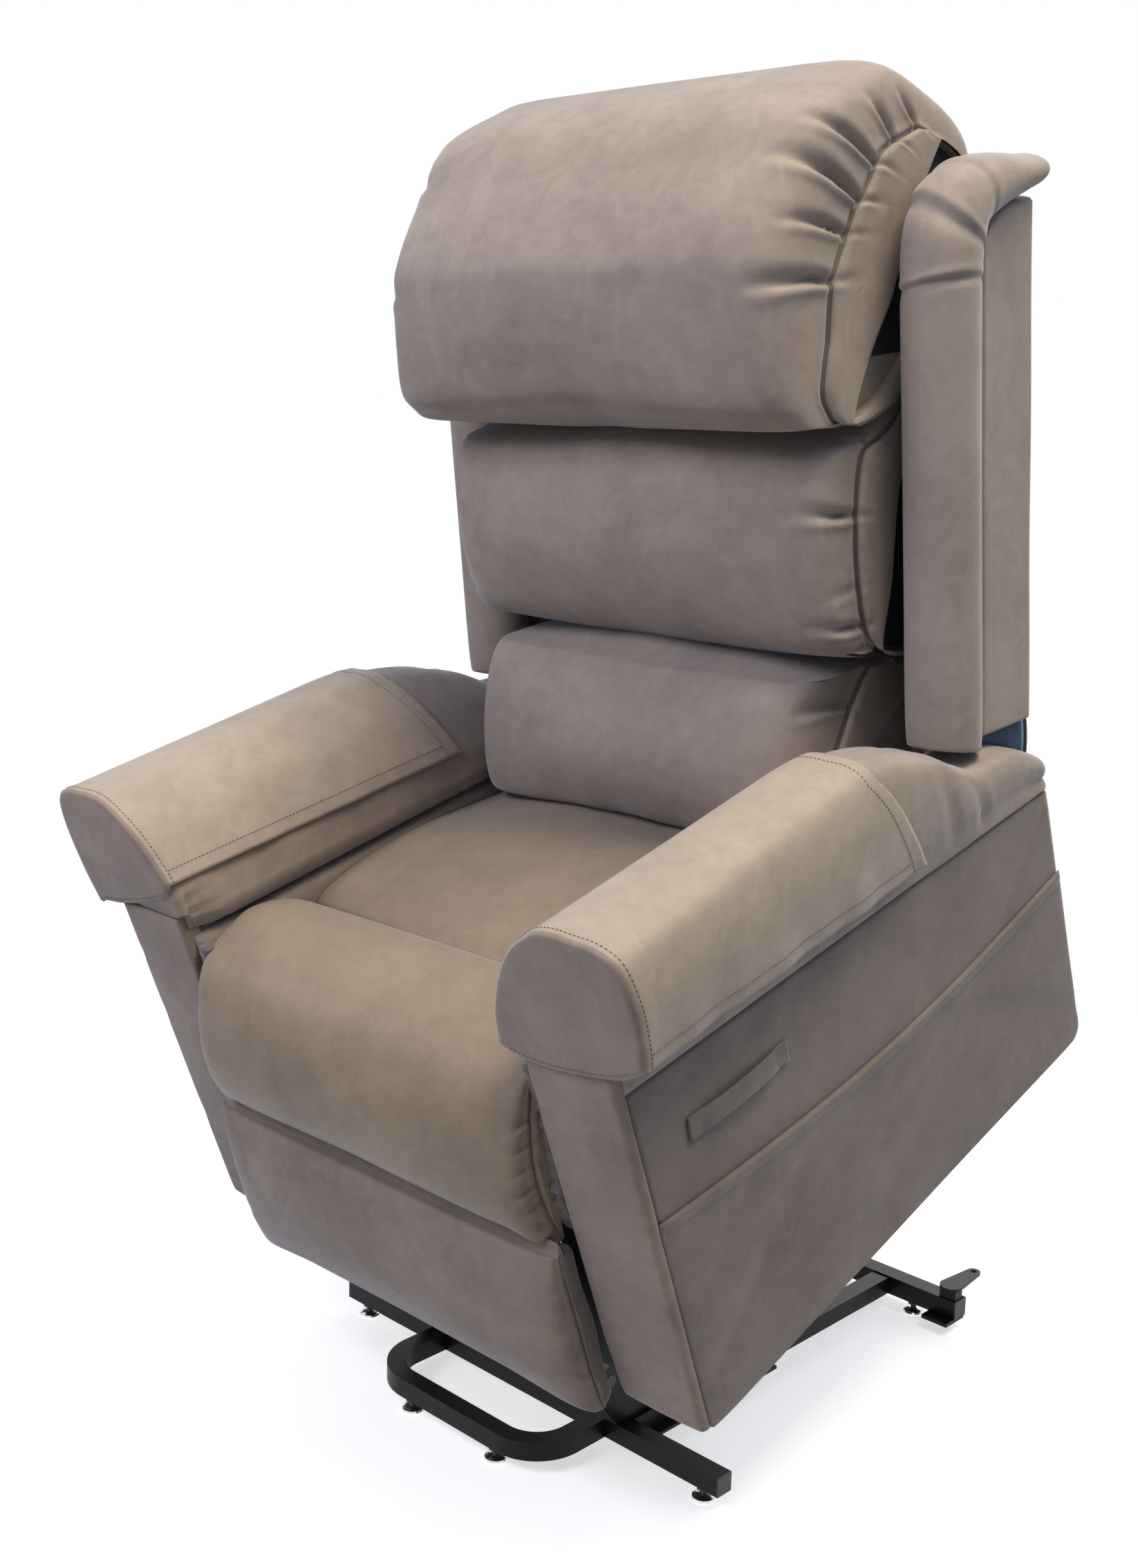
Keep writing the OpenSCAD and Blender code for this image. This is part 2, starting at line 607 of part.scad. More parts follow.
// Half outline of the arm roll at depth y: [x, z] from the outer hem over the top to the inner hem
function roll_over(y, outer_z, inner_z) =
    let (s = seam(y), h = arm_top(y) - s, w = roll_out(y) - roll_in)
    let (to = (outer_z - s) / h, ti = (inner_z - s) / h)
    [for (q = open_curve([
        out_side(to), out_side((to + 0.64) / 2), [1, 0.7], [0.955, 0.915], [0.84, 0.99], [0.7, 1],
        [0.54, 1], [0.414, 0.947], in_side(0.76), in_side((ti + 0.68) / 2), in_side(ti)
    ], 2)) [roll_in + w * q[0], s + h * q[1]]];
roll_y = [
    0, 10, 70, 190, 310, 390, 450, 500, 540, 570, pivot_y, pivot_y + 50, pivot_y + 96,
    body_depth - 14, body_depth
];
// The roll, narrowing under its outer side to the seam; both ends are rounded over
module arm_roll() on_body() loft([for (i = [0:len(roll_y) - 1])
    let (y = roll_y[i], e = (i == 0 || i == len(roll_y) - 1) ? 7 : 0, m = (roll_in + roll_out(y)) / 2)
    let (s = seam(y), h = arm_top(y) - s, over = roll_over(y, s + 0.28 * h, s + 0.16 * h))
    concat(
        [for (q = over) [q[0] - e * sign(q[0] - m), y, q[1] - (q[1] > s + 30 ? e : 0)]],
        [for (x = [roll_in + 24, m, side_x - panel_t]) [x, y, s]],
        [[side_x + 0.3 * (roll_out(y) - side_x) - e / 2, y, s + 0.13 * h]]
    )], 0, true);
module arm_roll_left() color(suede) arm_roll();
module arm_roll_right() color(suede) mirror([1, 0, 0]) arm_roll();

// Sleeve: an open skin over the roll, n steps from hem to hem, with a flat D-shaped front
sleeve_steps = 7;
function shift_out(p, c, d) = p + d * (p - c) / norm(p - c);
sleeve_last = 20;
inner_flap = 0.45;
// Point j round the sleeve at the fraction f of its depth, d outside the roll
function sleeve_point(j, f, d, hems) =
    let (side = j / sleeve_last, flap = max(0, 1 - 3 * side, inner_flap * (3 * side - 2)))
    let (y = f * (sleeve_depth + flap_extra * flap) - 0.3)
    let (outer = hems[0] - (hems[0] - hems[1]) * f, inner = hems[2] - (hems[2] - hems[3]) * f)
    let (over = roll_over(y, outer, inner), c = [(roll_in + roll_out(y)) / 2, seam(y) + 60])
    let (q = shift_out(over[j], c, d))
    [q[0], y, q[1]];
module sleeve(hems) on_body() {
    last = sleeve_last;
    rings = [for (f = [0:sleeve_steps]) concat(
        [for (j = [0:last]) sleeve_point(j, f / sleeve_steps, sleeve_gap + sleeve_t, hems)],
        [for (j = [last:-1:0]) sleeve_point(j, f / sleeve_steps, sleeve_gap, hems)]
    )];
    n = 2 * last + 2;
    back = sleeve_steps * n;
    polyhedron(
        [for (r = rings) each r],
        concat(
            [for (i = [0:sleeve_steps - 1], j = [0:n - 1]) let (k = (j + 1) % n, a = i * n, b = a + n)
                each [[a + j, a + k, b + k], [a + j, b + k, b + j]]],
            [for (j = [0:last - 1]) each [[j, n - 1 - j, n - 2 - j], [j, n - 2 - j, j + 1]]],
            [for (j = [back:back + last - 1]) let (k = 2 * back + n - 1 - j)
                each [[j, k - 1, k], [j, j + 1, k - 1]]]
        )
    );
    front = [for (j = [0:last]) let (p = sleeve_point(j, 0, sleeve_gap + sleeve_t, hems)) [p[0], p[2]]];
    translate([0, -0.3, 0]) rotate([90, 0, 0]) linear_extrude(sleeve_t) polygon(front);
}
// Hem heights: outer front, outer back, inner front, inner back
left_hem = [467, 400, 440, 408];
right_hem = [434, 386, 491, 437];
module arm_sleeve_left() color(suede) sleeve(left_hem);
module arm_sleeve_right() color(suede) mirror([1, 0, 0]) sleeve(right_hem);

box_back = body_depth - 14;
board = 12;
// Plywood arm boxes: an inner board with front, back, lower and top rails on its outer face
module arm_boxes() color(plywood) on_body() pair() {
    inner = plate_x + plate_t + 1;
    rails = inner + board + glue;
    outer = side_x - panel_t;
    front = panel_t + 2;
    low = front + board;
    high = box_back - board;
    plate_x([[front, 8], [box_back, 8], [box_back, seam(box_back) - 1], [front, seam(front) - 1]],
        inner, inner + board);
    plate_x([[front, 8], [low, 8], [low, seam(low) - 1], [front, seam(front) - 1]], rails, outer);
    plate_x([[high, 8], [box_back, 8], [box_back, seam(box_back) - 1], [high, seam(high) - 1]], rails, outer);
    a = low + glue;
    b = high - glue;
    plate_x([[a, 8], [b, 8], [b, 8 + board], [a, 8 + board]], rails, outer);
    plate_x([[a, seam(a) - 1 - board], [b, seam(b) - 1 - board], [b, seam(b) - 1], [a, seam(a) - 1]],
        rails, outer);
}

module arm_side_panels() color(suede) on_body() pair() plate_x([
    [2, 4], [6, 0], [body_depth - 5, 0], [body_depth, 6],
    [body_depth, seam(body_depth) - 0.6], [2, seam(2) - 0.6]
], side_x - panel_t + 0.2, side_x - 0.2);

// Upholstered fronts that widen towards the top
front_in_low = 36;
module arm_front_panels() color(suede) on_body() pair() translate([0, panel_t + 1.6, 0]) rotate([90, 0, 0])
    linear_extrude(panel_t) polygon([
        [seat_width / 2 + front_in_low, 0], [side_x - panel_t - 0.4, 0],
        [side_x - panel_t - 0.4, seam(0) - 3], [roll_in + 26, seam(0) - 3],
        [seat_width / 2 + 24, seam(0) - 70], [seat_width / 2 + front_in_low - 3, 180]
    ]);

pocket_t = 5;
function pocket_hem(y) = pocket_height - pocket_fall * y / 1000 - pocket_sag * sin(180 * y / body_depth);
module side_pockets() color(suede_dark) on_body() pair() plate_x(concat(
    [[4, 3], [body_depth - 4, 3]],
    [for (i = [12:-1:0]) let (y = 4 + (body_depth - 6) * i / 12) [y, pocket_hem(y)]]
), side_x + 0.2, side_x + 0.2 + pocket_t);

// Padding inside each arm, between the seat cushion and the roll
pad_back = 560;
pad_low = 266;
pad_t = 24;
pad_ring = held([
    [0, -1], [0, 1], [-0.5, 1], [-0.95, 0.8], [-1, 0], [-0.95, -0.8], [-0.5, -1]
], [-1, -1], [0, 1]);
module arm_inner_pads() color(suede) on_body() pair() {
    loft([for (i = [0:8]) let (u = sin(90 * (i / 4 - 1)), k = 0.55 + 0.45 * sqrt(max(0, 1 - pow(abs(u), 4))))
        let (y = panel_t + 4 + (pad_back - panel_t - 4) * (u + 1) / 2)
        let (top = seam(y) - 2, m = (top + pad_low) / 2)
        [for (q = pad_ring) [plate_x + plate_t + 0.8 + q[0] * pad_t * k, y, m + q[1] * (top - pad_low) / 2]]
    ], 0);
}

// Strap for the handset on the left side panel, sewn down at both ends
strap = [[78, 318], [230, 309]];
module handset_strap() color(suede_dark) on_body() {
    d = strap[1] - strap[0];
    translate([side_x, strap[0][0], strap[0][1]]) rotate([atan2(d[1], d[0]), 0, 0])
        cube([3, norm(d), 25]);
}

cover_half = plate_x + plate_t + 13;
module rear_cover_panel() color(suede_dark) on_body()
    translate([-cover_half, box_back + 0.3, 10]) cube([2 * cover_half, 8, 175]);

// ---- Seat ----

cushion_half = seat_width / 2 - 8.5;
cushion_top = cushion_z + cushion_t;
module seat_cushion() color(suede) on_body() cushion(held([
    [seat_back_y - 4, cushion_z], [seat_back_y - 3, cushion_top - 58], [seat_back_y - 24, cushion_top - 42],
    [seat_back_y - 80, cushion_top - 31], [seat_back_y - 140, cushion_top - 19],
    [seat_back_y - 220, cushion_top - 5], [seat_seam_y + 100, cushion_top],
    [seat_seam_y + 40, cushion_top - 3], [seat_seam_y + 10, cushion_top - 13],
    [seat_seam_y + 3, cushion_top - 26], [seat_seam_y + 2, cushion_z + 30],
    [seat_seam_y + 6, cushion_z + 4], [seat_seam_y + 60, cushion_z + 1], [seat_back_y - 120, cushion_z + 1]
], [seat_seam_y + 1, cushion_z], [seat_back_y, free]), [(seat_seam_y + seat_back_y) / 2, cushion_z],
    cushion_half, 0.99, 0.9, 5);

// The front of the seat: a thick pad that rolls over the front edge and hangs down to the legrest
roll_drop = 66;
module front_roll() color(suede) on_body() cushion([for (q = closed_curve([
    [seat_seam_y - 2, cushion_z + 1], [seat_seam_y - 1, cushion_top - 26], [seat_seam_y - 6, cushion_top - 6],
    [seat_seam_y - 24, cushion_top + 14], [seat_seam_y - 68, cushion_top + 27], [54, cushion_top + 22],
    [18, cushion_top + 11], [-11, cushion_top - 7], [-33, cushion_top - 46], [-47, cushion_top - 89],
    [-50, cushion_top - 127], [-43, cushion_top - 155], [-31, cushion_z - roll_drop],
    [-17, cushion_z - roll_drop + 3], [-8, cushion_z - 44], [0, cushion_z - 20], [14, cushion_z + 1],
    [60, cushion_z + 2]
], 2)) q[0] > 16 ? [min(q[0], seat_seam_y - 0.5), max(q[1], cushion_z)] : q],
    [60, cushion_z + 20], cushion_half + 3, 0.97, 0.95, 4);

// ---- Backrest ----

back_top = back_height;
frame_y = back_front + cover_t + 4;
// Steel frame: two posts, three cross bars between them
module back_posts() color(black_steel) on_back() pair() translate([post_x, frame_y, -20])
    cube([25, 25, back_top - 38]);
module back_cross_bars() color(black_steel) on_back() for (z = [120, 420, back_top - 83])
    translate([-post_x, frame_y, z]) cube([2 * post_x, 25, 25]);

// Side plates, tube and lever that turn about the recline pivot
module back_pivot_frame() color(black_steel) on_back() {
    difference() {
        union() {
            pair() plate_x([
                [-22, -16], [22, -24], [frame_y + 25, -20], [frame_y + 25, 70], [frame_y, 70], [-14, 22]
            ], back_plate_x, back_plate_x + back_plate_t);
            rod_x([0, 0], 15, -back_plate_x, back_plate_x);
        }
        pair() rod_x([0, 0], pin_r + run_clear, back_plate_x - 4, plate_x + 10);
    }
    lever = turn(back_lever, back_lean);
    translate([-drive_x, 0, 0]) {
        bar_x([0, 0], lever, 9, -4, 4);
        rod_x(lever, 6, -18, 18);
    }
}

// Plywood box of the back: side boards, a top board and a thin lower board behind the posts
side_t = 16;
board_h = back_top - 8 - wing_bottom - 4;
module back_box() color(plywood) on_back() {
    pair() plate_x([
        [frame_y - 30, wing_bottom + 4], [wing_depth - 12, wing_bottom + 4], [wing_depth - 12, back_top - 16],
        [frame_y - 4, back_top - 30], [frame_y - 30, back_top - 44]
    ], box_x, box_x + side_t);
    translate([-box_x + glue, back_front + cover_t + 1, wing_bottom + 4 + board_h - side_t])
        cube([2 * (box_x - glue), wing_depth - 12 - back_front - cover_t - 1, side_t]);
    translate([-box_x + glue, frame_y + 25.5, wing_bottom + 4])
        cube([2 * (box_x - glue), wing_depth - 12 - frame_y - 25.5, 60]);
}

module back_inner_cover() color("#111214") on_back() translate([0, back_front, 0]) {
    translate([-box_x + 0.5, 0, wing_bottom + 4]) cube([2 * box_x - 1, cover_t, board_h]);
    translate([-roll_in + 3, 0, wing_bottom - 92]) cube([2 * roll_in - 6, cover_t, 97]);
}

module back_rear_panel() color(suede) on_back() translate([0, wing_depth - 11, 0]) {
    translate([-box_x - side_t, 0, wing_bottom]) cube([2 * (box_x + side_t), 8, back_top - wing_bottom - 8]);
    translate([-seat_width / 2 + 14, 0, wing_bottom - 150]) cube([seat_width - 28, 8, 151]);
}

wing_t = 22;
wing_in = box_x + side_t + 0.5;
roll_v = -31;
panel_front = roll_v + wing_roll_r + 0.2;
module wing_panels() color(suede) on_back() pair() plate_x([
    [panel_front, wing_bottom + 2], [wing_depth - 6, wing_bottom], [wing_depth, wing_bottom + 6],
    [wing_depth, back_top - 14], [wing_depth - 8, back_top - 6], [80, back_top - 9], [54, back_top - 16],
    [34, back_top - 30], [panel_front + 5.4, back_top - 48], [panel_front + 4.4, back_top - 88],
    [panel_front, back_top - 150]
], wing_in, wing_in + wing_t);

// Wing roll: up the front edge of the wing, then back over its top to a flat tab
// Each ring is [depth, height, lean, width scale, thickness scale]
function wing_path() = concat(
    [for (s = [[0, 14, 0.6], [5, 12, 0.86], [18, 8, 1], [170, 0, 1], [330, 0, 1]])
        [roll_v, wing_bottom + s[0], s[1], s[2], s[2]]],
    [for (s = [
        [0, -128, 0, 1, 1], [1, -70, 4, 1, 1.02], [5, -40, 24, 1, 1.06], [15, -17, 47, 1, 1.06],
        [31, -1, 68, 0.98, 0.96], [56, 9, 81, 0.96, 0.84], [91, 16, 87, 0.92, 0.68], [131, 21, 90, 0.88, 0.5],
        [wing_depth + 34, 24, 90, 0.84, 0.42], [wing_depth + 42, 24, 90, 0.7, 0.26]
    ]) [roll_v + s[0], back_top + s[1], s[2], s[3], s[4]]]
);
module wing_roll() on_back() loft([for (p = wing_path()) [for (a = [0:30:330])
    [wing_x + wing_roll_r * p[3] * cos(a), p[0] + wing_roll_r * p[4] * sin(a) * cos(p[2]),
        p[1] - wing_roll_r * p[4] * sin(a) * sin(p[2])]
]]);
module wing_roll_left() color(suede) wing_roll();
module wing_roll_right() color(suede) mirror([1, 0, 0]) wing_roll();

// Stretch gussets that close the wedge between the wings and the back of the arms
gusset_t = 3;
module back_gussets() color("#2f4f74") on_back() pair() difference() {
    plate_x([
        [panel_front + 2, wing_bottom], [wing_depth - 3, wing_bottom], [wing_depth - 3, wing_bottom - 44],
        [panel_front + 2, wing_bottom - 22]
    ], wing_in + 2, wing_in + 2 + gusset_t);
    rod_x([0, 0], arm_arc + arc_gap, wing_in, wing_in + 10);
}

pillow_back = back_front - touch_gap;
module lower_pillow() color(suede) on_back() cushion(held([
    [60, 134], [60, 297], [-40, 300], [-120, 307], [-152, 303], [-178, 284], [-192, 243], [-199, 195],
    [-199, 145], [-192, 112], [-172, 97], [-120, 97], [-60, 107], [10, 121]
], [-free, 0], [pillow_back, 301]), [pillow_back, 215], roll_in - 3, 0.81, 0.96, 4);

module middle_pillow() color(suede) on_back() cushion(held([
    [60, 306], [60, 470], [60, 641], [20, 635], [-24, 618], [-68, 580], [-110, 562], [-150, 551],
    [-168, 520], [-177, 454], [-172, 400], [-160, 354], [-140, 328], [-108, 315], [-50, 307]
], [-free, 302.5], [pillow_back, 642]), [pillow_back, 440], pillow_half - 5, 0.7, 0.95, 6);

// The head pillow folds back over the top of the box
module head_pillow() color(suede) on_back() cushion([for (q = closed_curve([
    [60, 655], [60, back_top - 24], [63, back_top - 3], [92, back_top], [120, back_top + 2],
    [135, back_top + 17], [138, back_top + 46], [126, back_top + 76], [93, back_top + 103],
    [41, back_top + 128], [-20, back_top + 150], [-68, back_top + 140], [-154, back_top + 106],
    [-202, back_top + 44], [-247, back_top - 28], [-257, back_top - 74], [-258, 616],
    [-236, 584], [-205, 569], [-140, 573], [-74, 592], [-20, 632], [20, 649]
], 2)) [q[1] < back_top - 2 ? min(q[0], pillow_back) : q[0], q[0] > back_front - 2 && q[1] > 700
    ? (q[1] < back_top - 5 ? q[1] : max(q[1], back_top - 3)) : q[1]]],
    [pillow_back, back_top - 3], pillow_half, 0.66, 0.5, 8, 0.98);

// ---- Legrest ----

link_w = 11;
hub_r = 17;
// Drive shaft with its two arms and the crank
module legrest_drive() color(zinc_steel) on_body() {
    rod_x(leg_k, 12, -plate_x + 4, plate_x - 4);
    pair() {
        rod_x(leg_k, pin_r, plate_x - 4, plate_x + plate_t + 1);
        bar_x(leg_k, leg_n, link_w, link_x + link_t + 1, link_x + 2 * link_t + 1);
        rod_x(leg_k, hub_r, link_x + link_t + 1, link_x + 2 * link_t + 1);
        rod_x(leg_n, link_w + 2, link_x + link_t + 1, link_x + 2 * link_t + 1);
        rod_x(leg_n, leg_pin_r, link_x - 2, link_x + 2 * link_t + 3);
    }
    bar_x(leg_k, crank_pin, 9, drive_x - 4, drive_x + 4);
    rod_x(leg_k, hub_r, drive_x - 4, drive_x + 4);
    rod_x(crank_pin, leg_pin_r, drive_x - 18, drive_x + 18);
}
module legrest_links() color(zinc_steel) on_body() pair() difference() {
    bar_x(leg_n, leg_m, link_w, link_x, link_x + link_t);
    rod_x(leg_n, leg_pin_r + run_clear, link_x - 1, link_x + link_t + 1);
    rod_x(leg_m, leg_pin_r + run_clear, link_x - 1, link_x + link_t + 1);
}
pad_front = -16;
module legrest_board() color(plywood) on_body()
    translate([-legrest_half + 16, pad_front + 0.5, legrest_z])
        cube([2 * (legrest_half - 16), board_t, legrest_h]);
module legrest_brackets() color(zinc_steel) on_body() pair() {
    plate_x([[pad_front + board_t + 0.5, 110], [leg_m[0] + 6, 130], [leg_m[0] + 13, 150], [leg_m[0] + 6, 166],
        [pad_front + board_t + 0.5, 186]], link_x + link_t + 1, link_x + 2 * link_t + 1);
    rod_x(leg_m, leg_pin_r, link_x - 2, link_x + 2 * link_t + 0.5);
}
module legrest_pad() color(suede) on_body() cushion(held([
    [pad_front, legrest_z - 2], [pad_front, legrest_z + legrest_h + 2],
    [pad_front - 10, legrest_z + legrest_h + 3], [pad_front - 22, legrest_z + legrest_h],
    [pad_front - 32, legrest_z + 150], [pad_front - 37, legrest_z + 90],
    [pad_front - 38, legrest_z + 40], [pad_front - 33, legrest_z + 8], [pad_front - 22, legrest_z - 5],
    [pad_front - 8, legrest_z - 6]
], [-free, legrest_z - 7], [pad_front, free]), [pad_front, legrest_z + legrest_h / 2],
    legrest_half, 0.6, 0.97, 3);

front_crossbar();
front_loop();
side_rails();
rear_crossbar();
tube_end_caps();
base_plates();
rear_ear_brackets();
lift_brackets();
lift_bracket_pins();
motor_clevis();
foot_stems();
foot_glides();
lift_arms();
lift_torque_tube();
stay_links();
lift_motor_housing();
lift_rod();
side_plates();
cross_tubes();
pivot_lugs();
chassis_pivot_pins();
seat_frame();
seat_webbing();
control_box();
power_inlet();
recline_motor();
legrest_motor();
arm_boxes();
arm_side_panels();
arm_front_panels();
side_pockets();
arm_roll_left();
arm_roll_right();
arm_inner_pads();
arm_sleeve_left();
arm_sleeve_right();
handset_strap();
seat_cushion();
front_roll();
rear_cover_panel();
back_posts();
back_cross_bars();
back_pivot_frame();
back_box();
back_inner_cover();
back_rear_panel();
wing_panels();
wing_roll_left();
wing_roll_right();
back_gussets();
lower_pillow();
middle_pillow();
head_pillow();
recline_carriage();
legrest_carriage();
legrest_drive();
legrest_links();
legrest_board();
legrest_pad();
legrest_brackets();
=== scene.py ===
"""Lift recliner chair, raised and tipped forward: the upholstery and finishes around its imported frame."""
import math

import bmesh
import bpy
import numpy as np
from mathutils import Matrix, Vector


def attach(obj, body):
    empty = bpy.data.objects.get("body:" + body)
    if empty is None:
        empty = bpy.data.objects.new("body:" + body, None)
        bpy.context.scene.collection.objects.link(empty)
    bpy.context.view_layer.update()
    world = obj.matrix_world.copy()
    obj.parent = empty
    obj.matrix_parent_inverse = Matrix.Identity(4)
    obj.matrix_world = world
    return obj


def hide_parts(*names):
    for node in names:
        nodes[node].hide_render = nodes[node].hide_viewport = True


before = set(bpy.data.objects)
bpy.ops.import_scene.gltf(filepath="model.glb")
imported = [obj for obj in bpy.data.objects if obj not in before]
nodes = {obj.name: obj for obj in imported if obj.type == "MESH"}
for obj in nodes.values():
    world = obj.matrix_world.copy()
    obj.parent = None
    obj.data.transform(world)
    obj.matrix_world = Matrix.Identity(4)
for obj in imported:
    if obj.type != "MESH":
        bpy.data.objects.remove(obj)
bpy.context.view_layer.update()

scene = bpy.context.scene
scene.view_settings.view_transform = "Standard"

# ---- Camera ----
# A long lens on a portrait frame, at the sitter's front left and somewhat above the chair's arms,
# turned by its own yaw, pitch and roll.
camera_data = bpy.data.cameras.new("camera")
camera_data.sensor_fit = "VERTICAL"
camera_data.sensor_height = camera_data.sensor_width = 36
camera_data.lens = 42.39
camera_data.clip_end = 50
camera = bpy.data.objects.new("camera", camera_data)
scene.collection.objects.link(camera)
scene.camera = camera
yaw, pitch, roll = (math.radians(a) for a in (44.13, -11.967, 1.151))
ahead = Vector((-math.sin(yaw) * math.cos(pitch), math.cos(yaw) * math.cos(pitch), math.sin(pitch)))
level = Vector((math.cos(yaw), math.sin(yaw), 0))
above = level.cross(ahead)
image_right = level * math.cos(roll) + above * math.sin(roll)
image_up = above * math.cos(roll) - level * math.sin(roll)
camera.matrix_world = Matrix.Translation((1.4448, -1.55153, 1.19115)) @ Matrix(
    (image_right, image_up, -ahead)).transposed().to_4x4()

# ---- Studio ----
# A plain white floor that keeps the chair's shadow and fades into a white room, lit by one large
# soft lamp above, one in front, a small one at the side and one behind.
floor_mesh = bpy.data.meshes.new("floor")
floor_mesh.from_pydata([(-9, -9, 0), (9, -9, 0), (9, 9, 0), (-9, 9, 0)], [], [(0, 1, 2, 3)])
floor = bpy.data.objects.new("floor", floor_mesh)
scene.collection.objects.link(floor)


def seen_directly(tree):
    """A factor of 1 for camera, glossy and transmission rays."""
    path = tree.nodes.new("ShaderNodeLightPath")
    total = None
    for ray in ("Is Camera Ray", "Is Glossy Ray", "Is Transmission Ray"):
        if total is None:
            total = path.outputs[ray]
            continue
        top = tree.nodes.new("ShaderNodeMath")
        top.operation = "MAXIMUM"
        tree.links.new(total, top.inputs[0])
        tree.links.new(path.outputs[ray], top.inputs[1])
        total = top.outputs[0]
    return total


floor_finish = bpy.data.materials.new("floor_paper")
floor_finish.use_nodes = True
tree = floor_finish.node_tree
tree.nodes.clear()
spot = tree.nodes.new("ShaderNodeTexCoord").outputs["Object"]
distance = tree.nodes.new("ShaderNodeVectorMath")
distance.operation = "LENGTH"
tree.links.new(spot, distance.inputs[0])
far = tree.nodes.new("ShaderNodeMapRange")
far.interpolation_type = "SMOOTHSTEP"
far.inputs["From Min"].default_value = 0.75
far.inputs["From Max"].default_value = 1.9
tree.links.new(distance.outputs["Value"], far.inputs["Value"])
paper = tree.nodes.new("ShaderNodeBsdfDiffuse")
paper.inputs["Color"].default_value = (0.80, 0.78, 0.73, 1)
dull = tree.nodes.new("ShaderNodeBsdfDiffuse")
dull.inputs["Color"].default_value = (0.36, 0.355, 0.345, 1)
near_glow = tree.nodes.new("ShaderNodeEmission")
near_glow.inputs["Strength"].default_value = 0.60
near = tree.nodes.new("ShaderNodeAddShader")
tree.links.new(paper.outputs[0], near.inputs[0])
tree.links.new(near_glow.outputs[0], near.inputs[1])
plain = tree.nodes.new("ShaderNodeEmission")
fade = tree.nodes.new("ShaderNodeMixShader")
tree.links.new(far.outputs["Result"], fade.inputs[0])
tree.links.new(near.outputs[0], fade.inputs[1])
tree.links.new(plain.outputs[0], fade.inputs[2])
pick = tree.nodes.new("ShaderNodeMixShader")
tree.links.new(seen_directly(tree), pick.inputs[0])
tree.links.new(dull.outputs[0], pick.inputs[1])
tree.links.new(fade.outputs[0], pick.inputs[2])
tree.links.new(pick.outputs[0], tree.nodes.new("ShaderNodeOutputMaterial").inputs["Surface"])
floor_mesh.materials.append(floor_finish)

world = bpy.data.worlds.new("room")
scene.world = world
world.use_nodes = True
tree = world.node_tree
tree.nodes.clear()
room = tree.nodes.new("ShaderNodeBackground")
room.inputs["Color"].default_value = (0.62, 0.72, 1.0, 1)
room.inputs["Strength"].default_value = 0.38
white = tree.nodes.new("ShaderNodeBackground")
white.inputs["Color"].default_value = (1, 1, 1, 1)
white.inputs["Strength"].default_value = 1.0
choose = tree.nodes.new("ShaderNodeMixShader")
tree.links.new(seen_directly(tree), choose.inputs[0])
tree.links.new(room.outputs[0], choose.inputs[1])
tree.links.new(white.outputs[0], choose.inputs[2])
tree.links.new(choose.outputs[0], tree.nodes.new("ShaderNodeOutputWorld").inputs["Surface"])


def lamp(name, place, target, size, power, color):
    """A rectangular soft lamp at a place, turned to its target."""
    data = bpy.data.lights.new(name, "AREA")
    data.shape = "RECTANGLE"
    data.size, data.size_y = size
    data.energy = power
    data.color = color
    item = bpy.data.objects.new(name, data)
    scene.collection.objects.link(item)
    item.location = place
    item.rotation_euler = (Vector(target) - Vector(place)).to_track_quat("-Z", "Y").to_euler()


lamp("ceiling_softbox", (1.5, 0.1, 4.7), (0, 0, 0.6), (1.8, 1.8), 176, (1.0, 0.89, 0.65))
lamp("window_softbox", (-0.5, -3.1, 3.2), (0, 0, 1.2), (1.8, 1.6), 92, (0.87, 0.87, 1.0))
lamp("side_softbox", (2.3, 0.6, 3.2), (0.3, 0.2, 1.4), (0.9, 0.9), 14, (0.62, 0.76, 1.0))
lamp("back_softbox", (-1.2, 3.4, 2.6), (0, 0, 0.9), (1.8, 1.8), 30, (0.9, 0.95, 1.0))

# ---- Head pillow ----
# A deep foam pillow in brushed microfibre that folds back over the top of the box. Its front
# panel is sewn to a gusset at each side, and the seam gathers the cloth into pleats near the top.
TILT, LEAN = math.radians(20), math.radians(13)  # of the raised body, and of the back on it
RAISED = np.array([-260.3, 178.7])               # where the body's own origin stands when raised
PIVOT = np.array([600.0, 240.0])                 # the back's pivot in the body


def on_body(p):
    """Points in the body's own frame, in mm, as row frame points in metres."""
    p = np.asarray(p, float)
    y, z = p[..., 1], p[..., 2]
    c, s = math.cos(TILT), math.sin(TILT)
    return np.stack([p[..., 0], RAISED[0] + y * c - z * s, RAISED[1] + y * s + z * c], -1) / 1000


def on_back(p):
    """Points in the backrest's leaning frame: x, depth behind the pivot, height along the lean."""
    p = np.asarray(p, float)
    v, w = p[..., 1], p[..., 2]
    c, s = math.cos(LEAN), math.sin(LEAN)
    return on_body(np.stack([p[..., 0], PIVOT[0] + v * c + w * s, PIVOT[1] - v * s + w * c], -1))


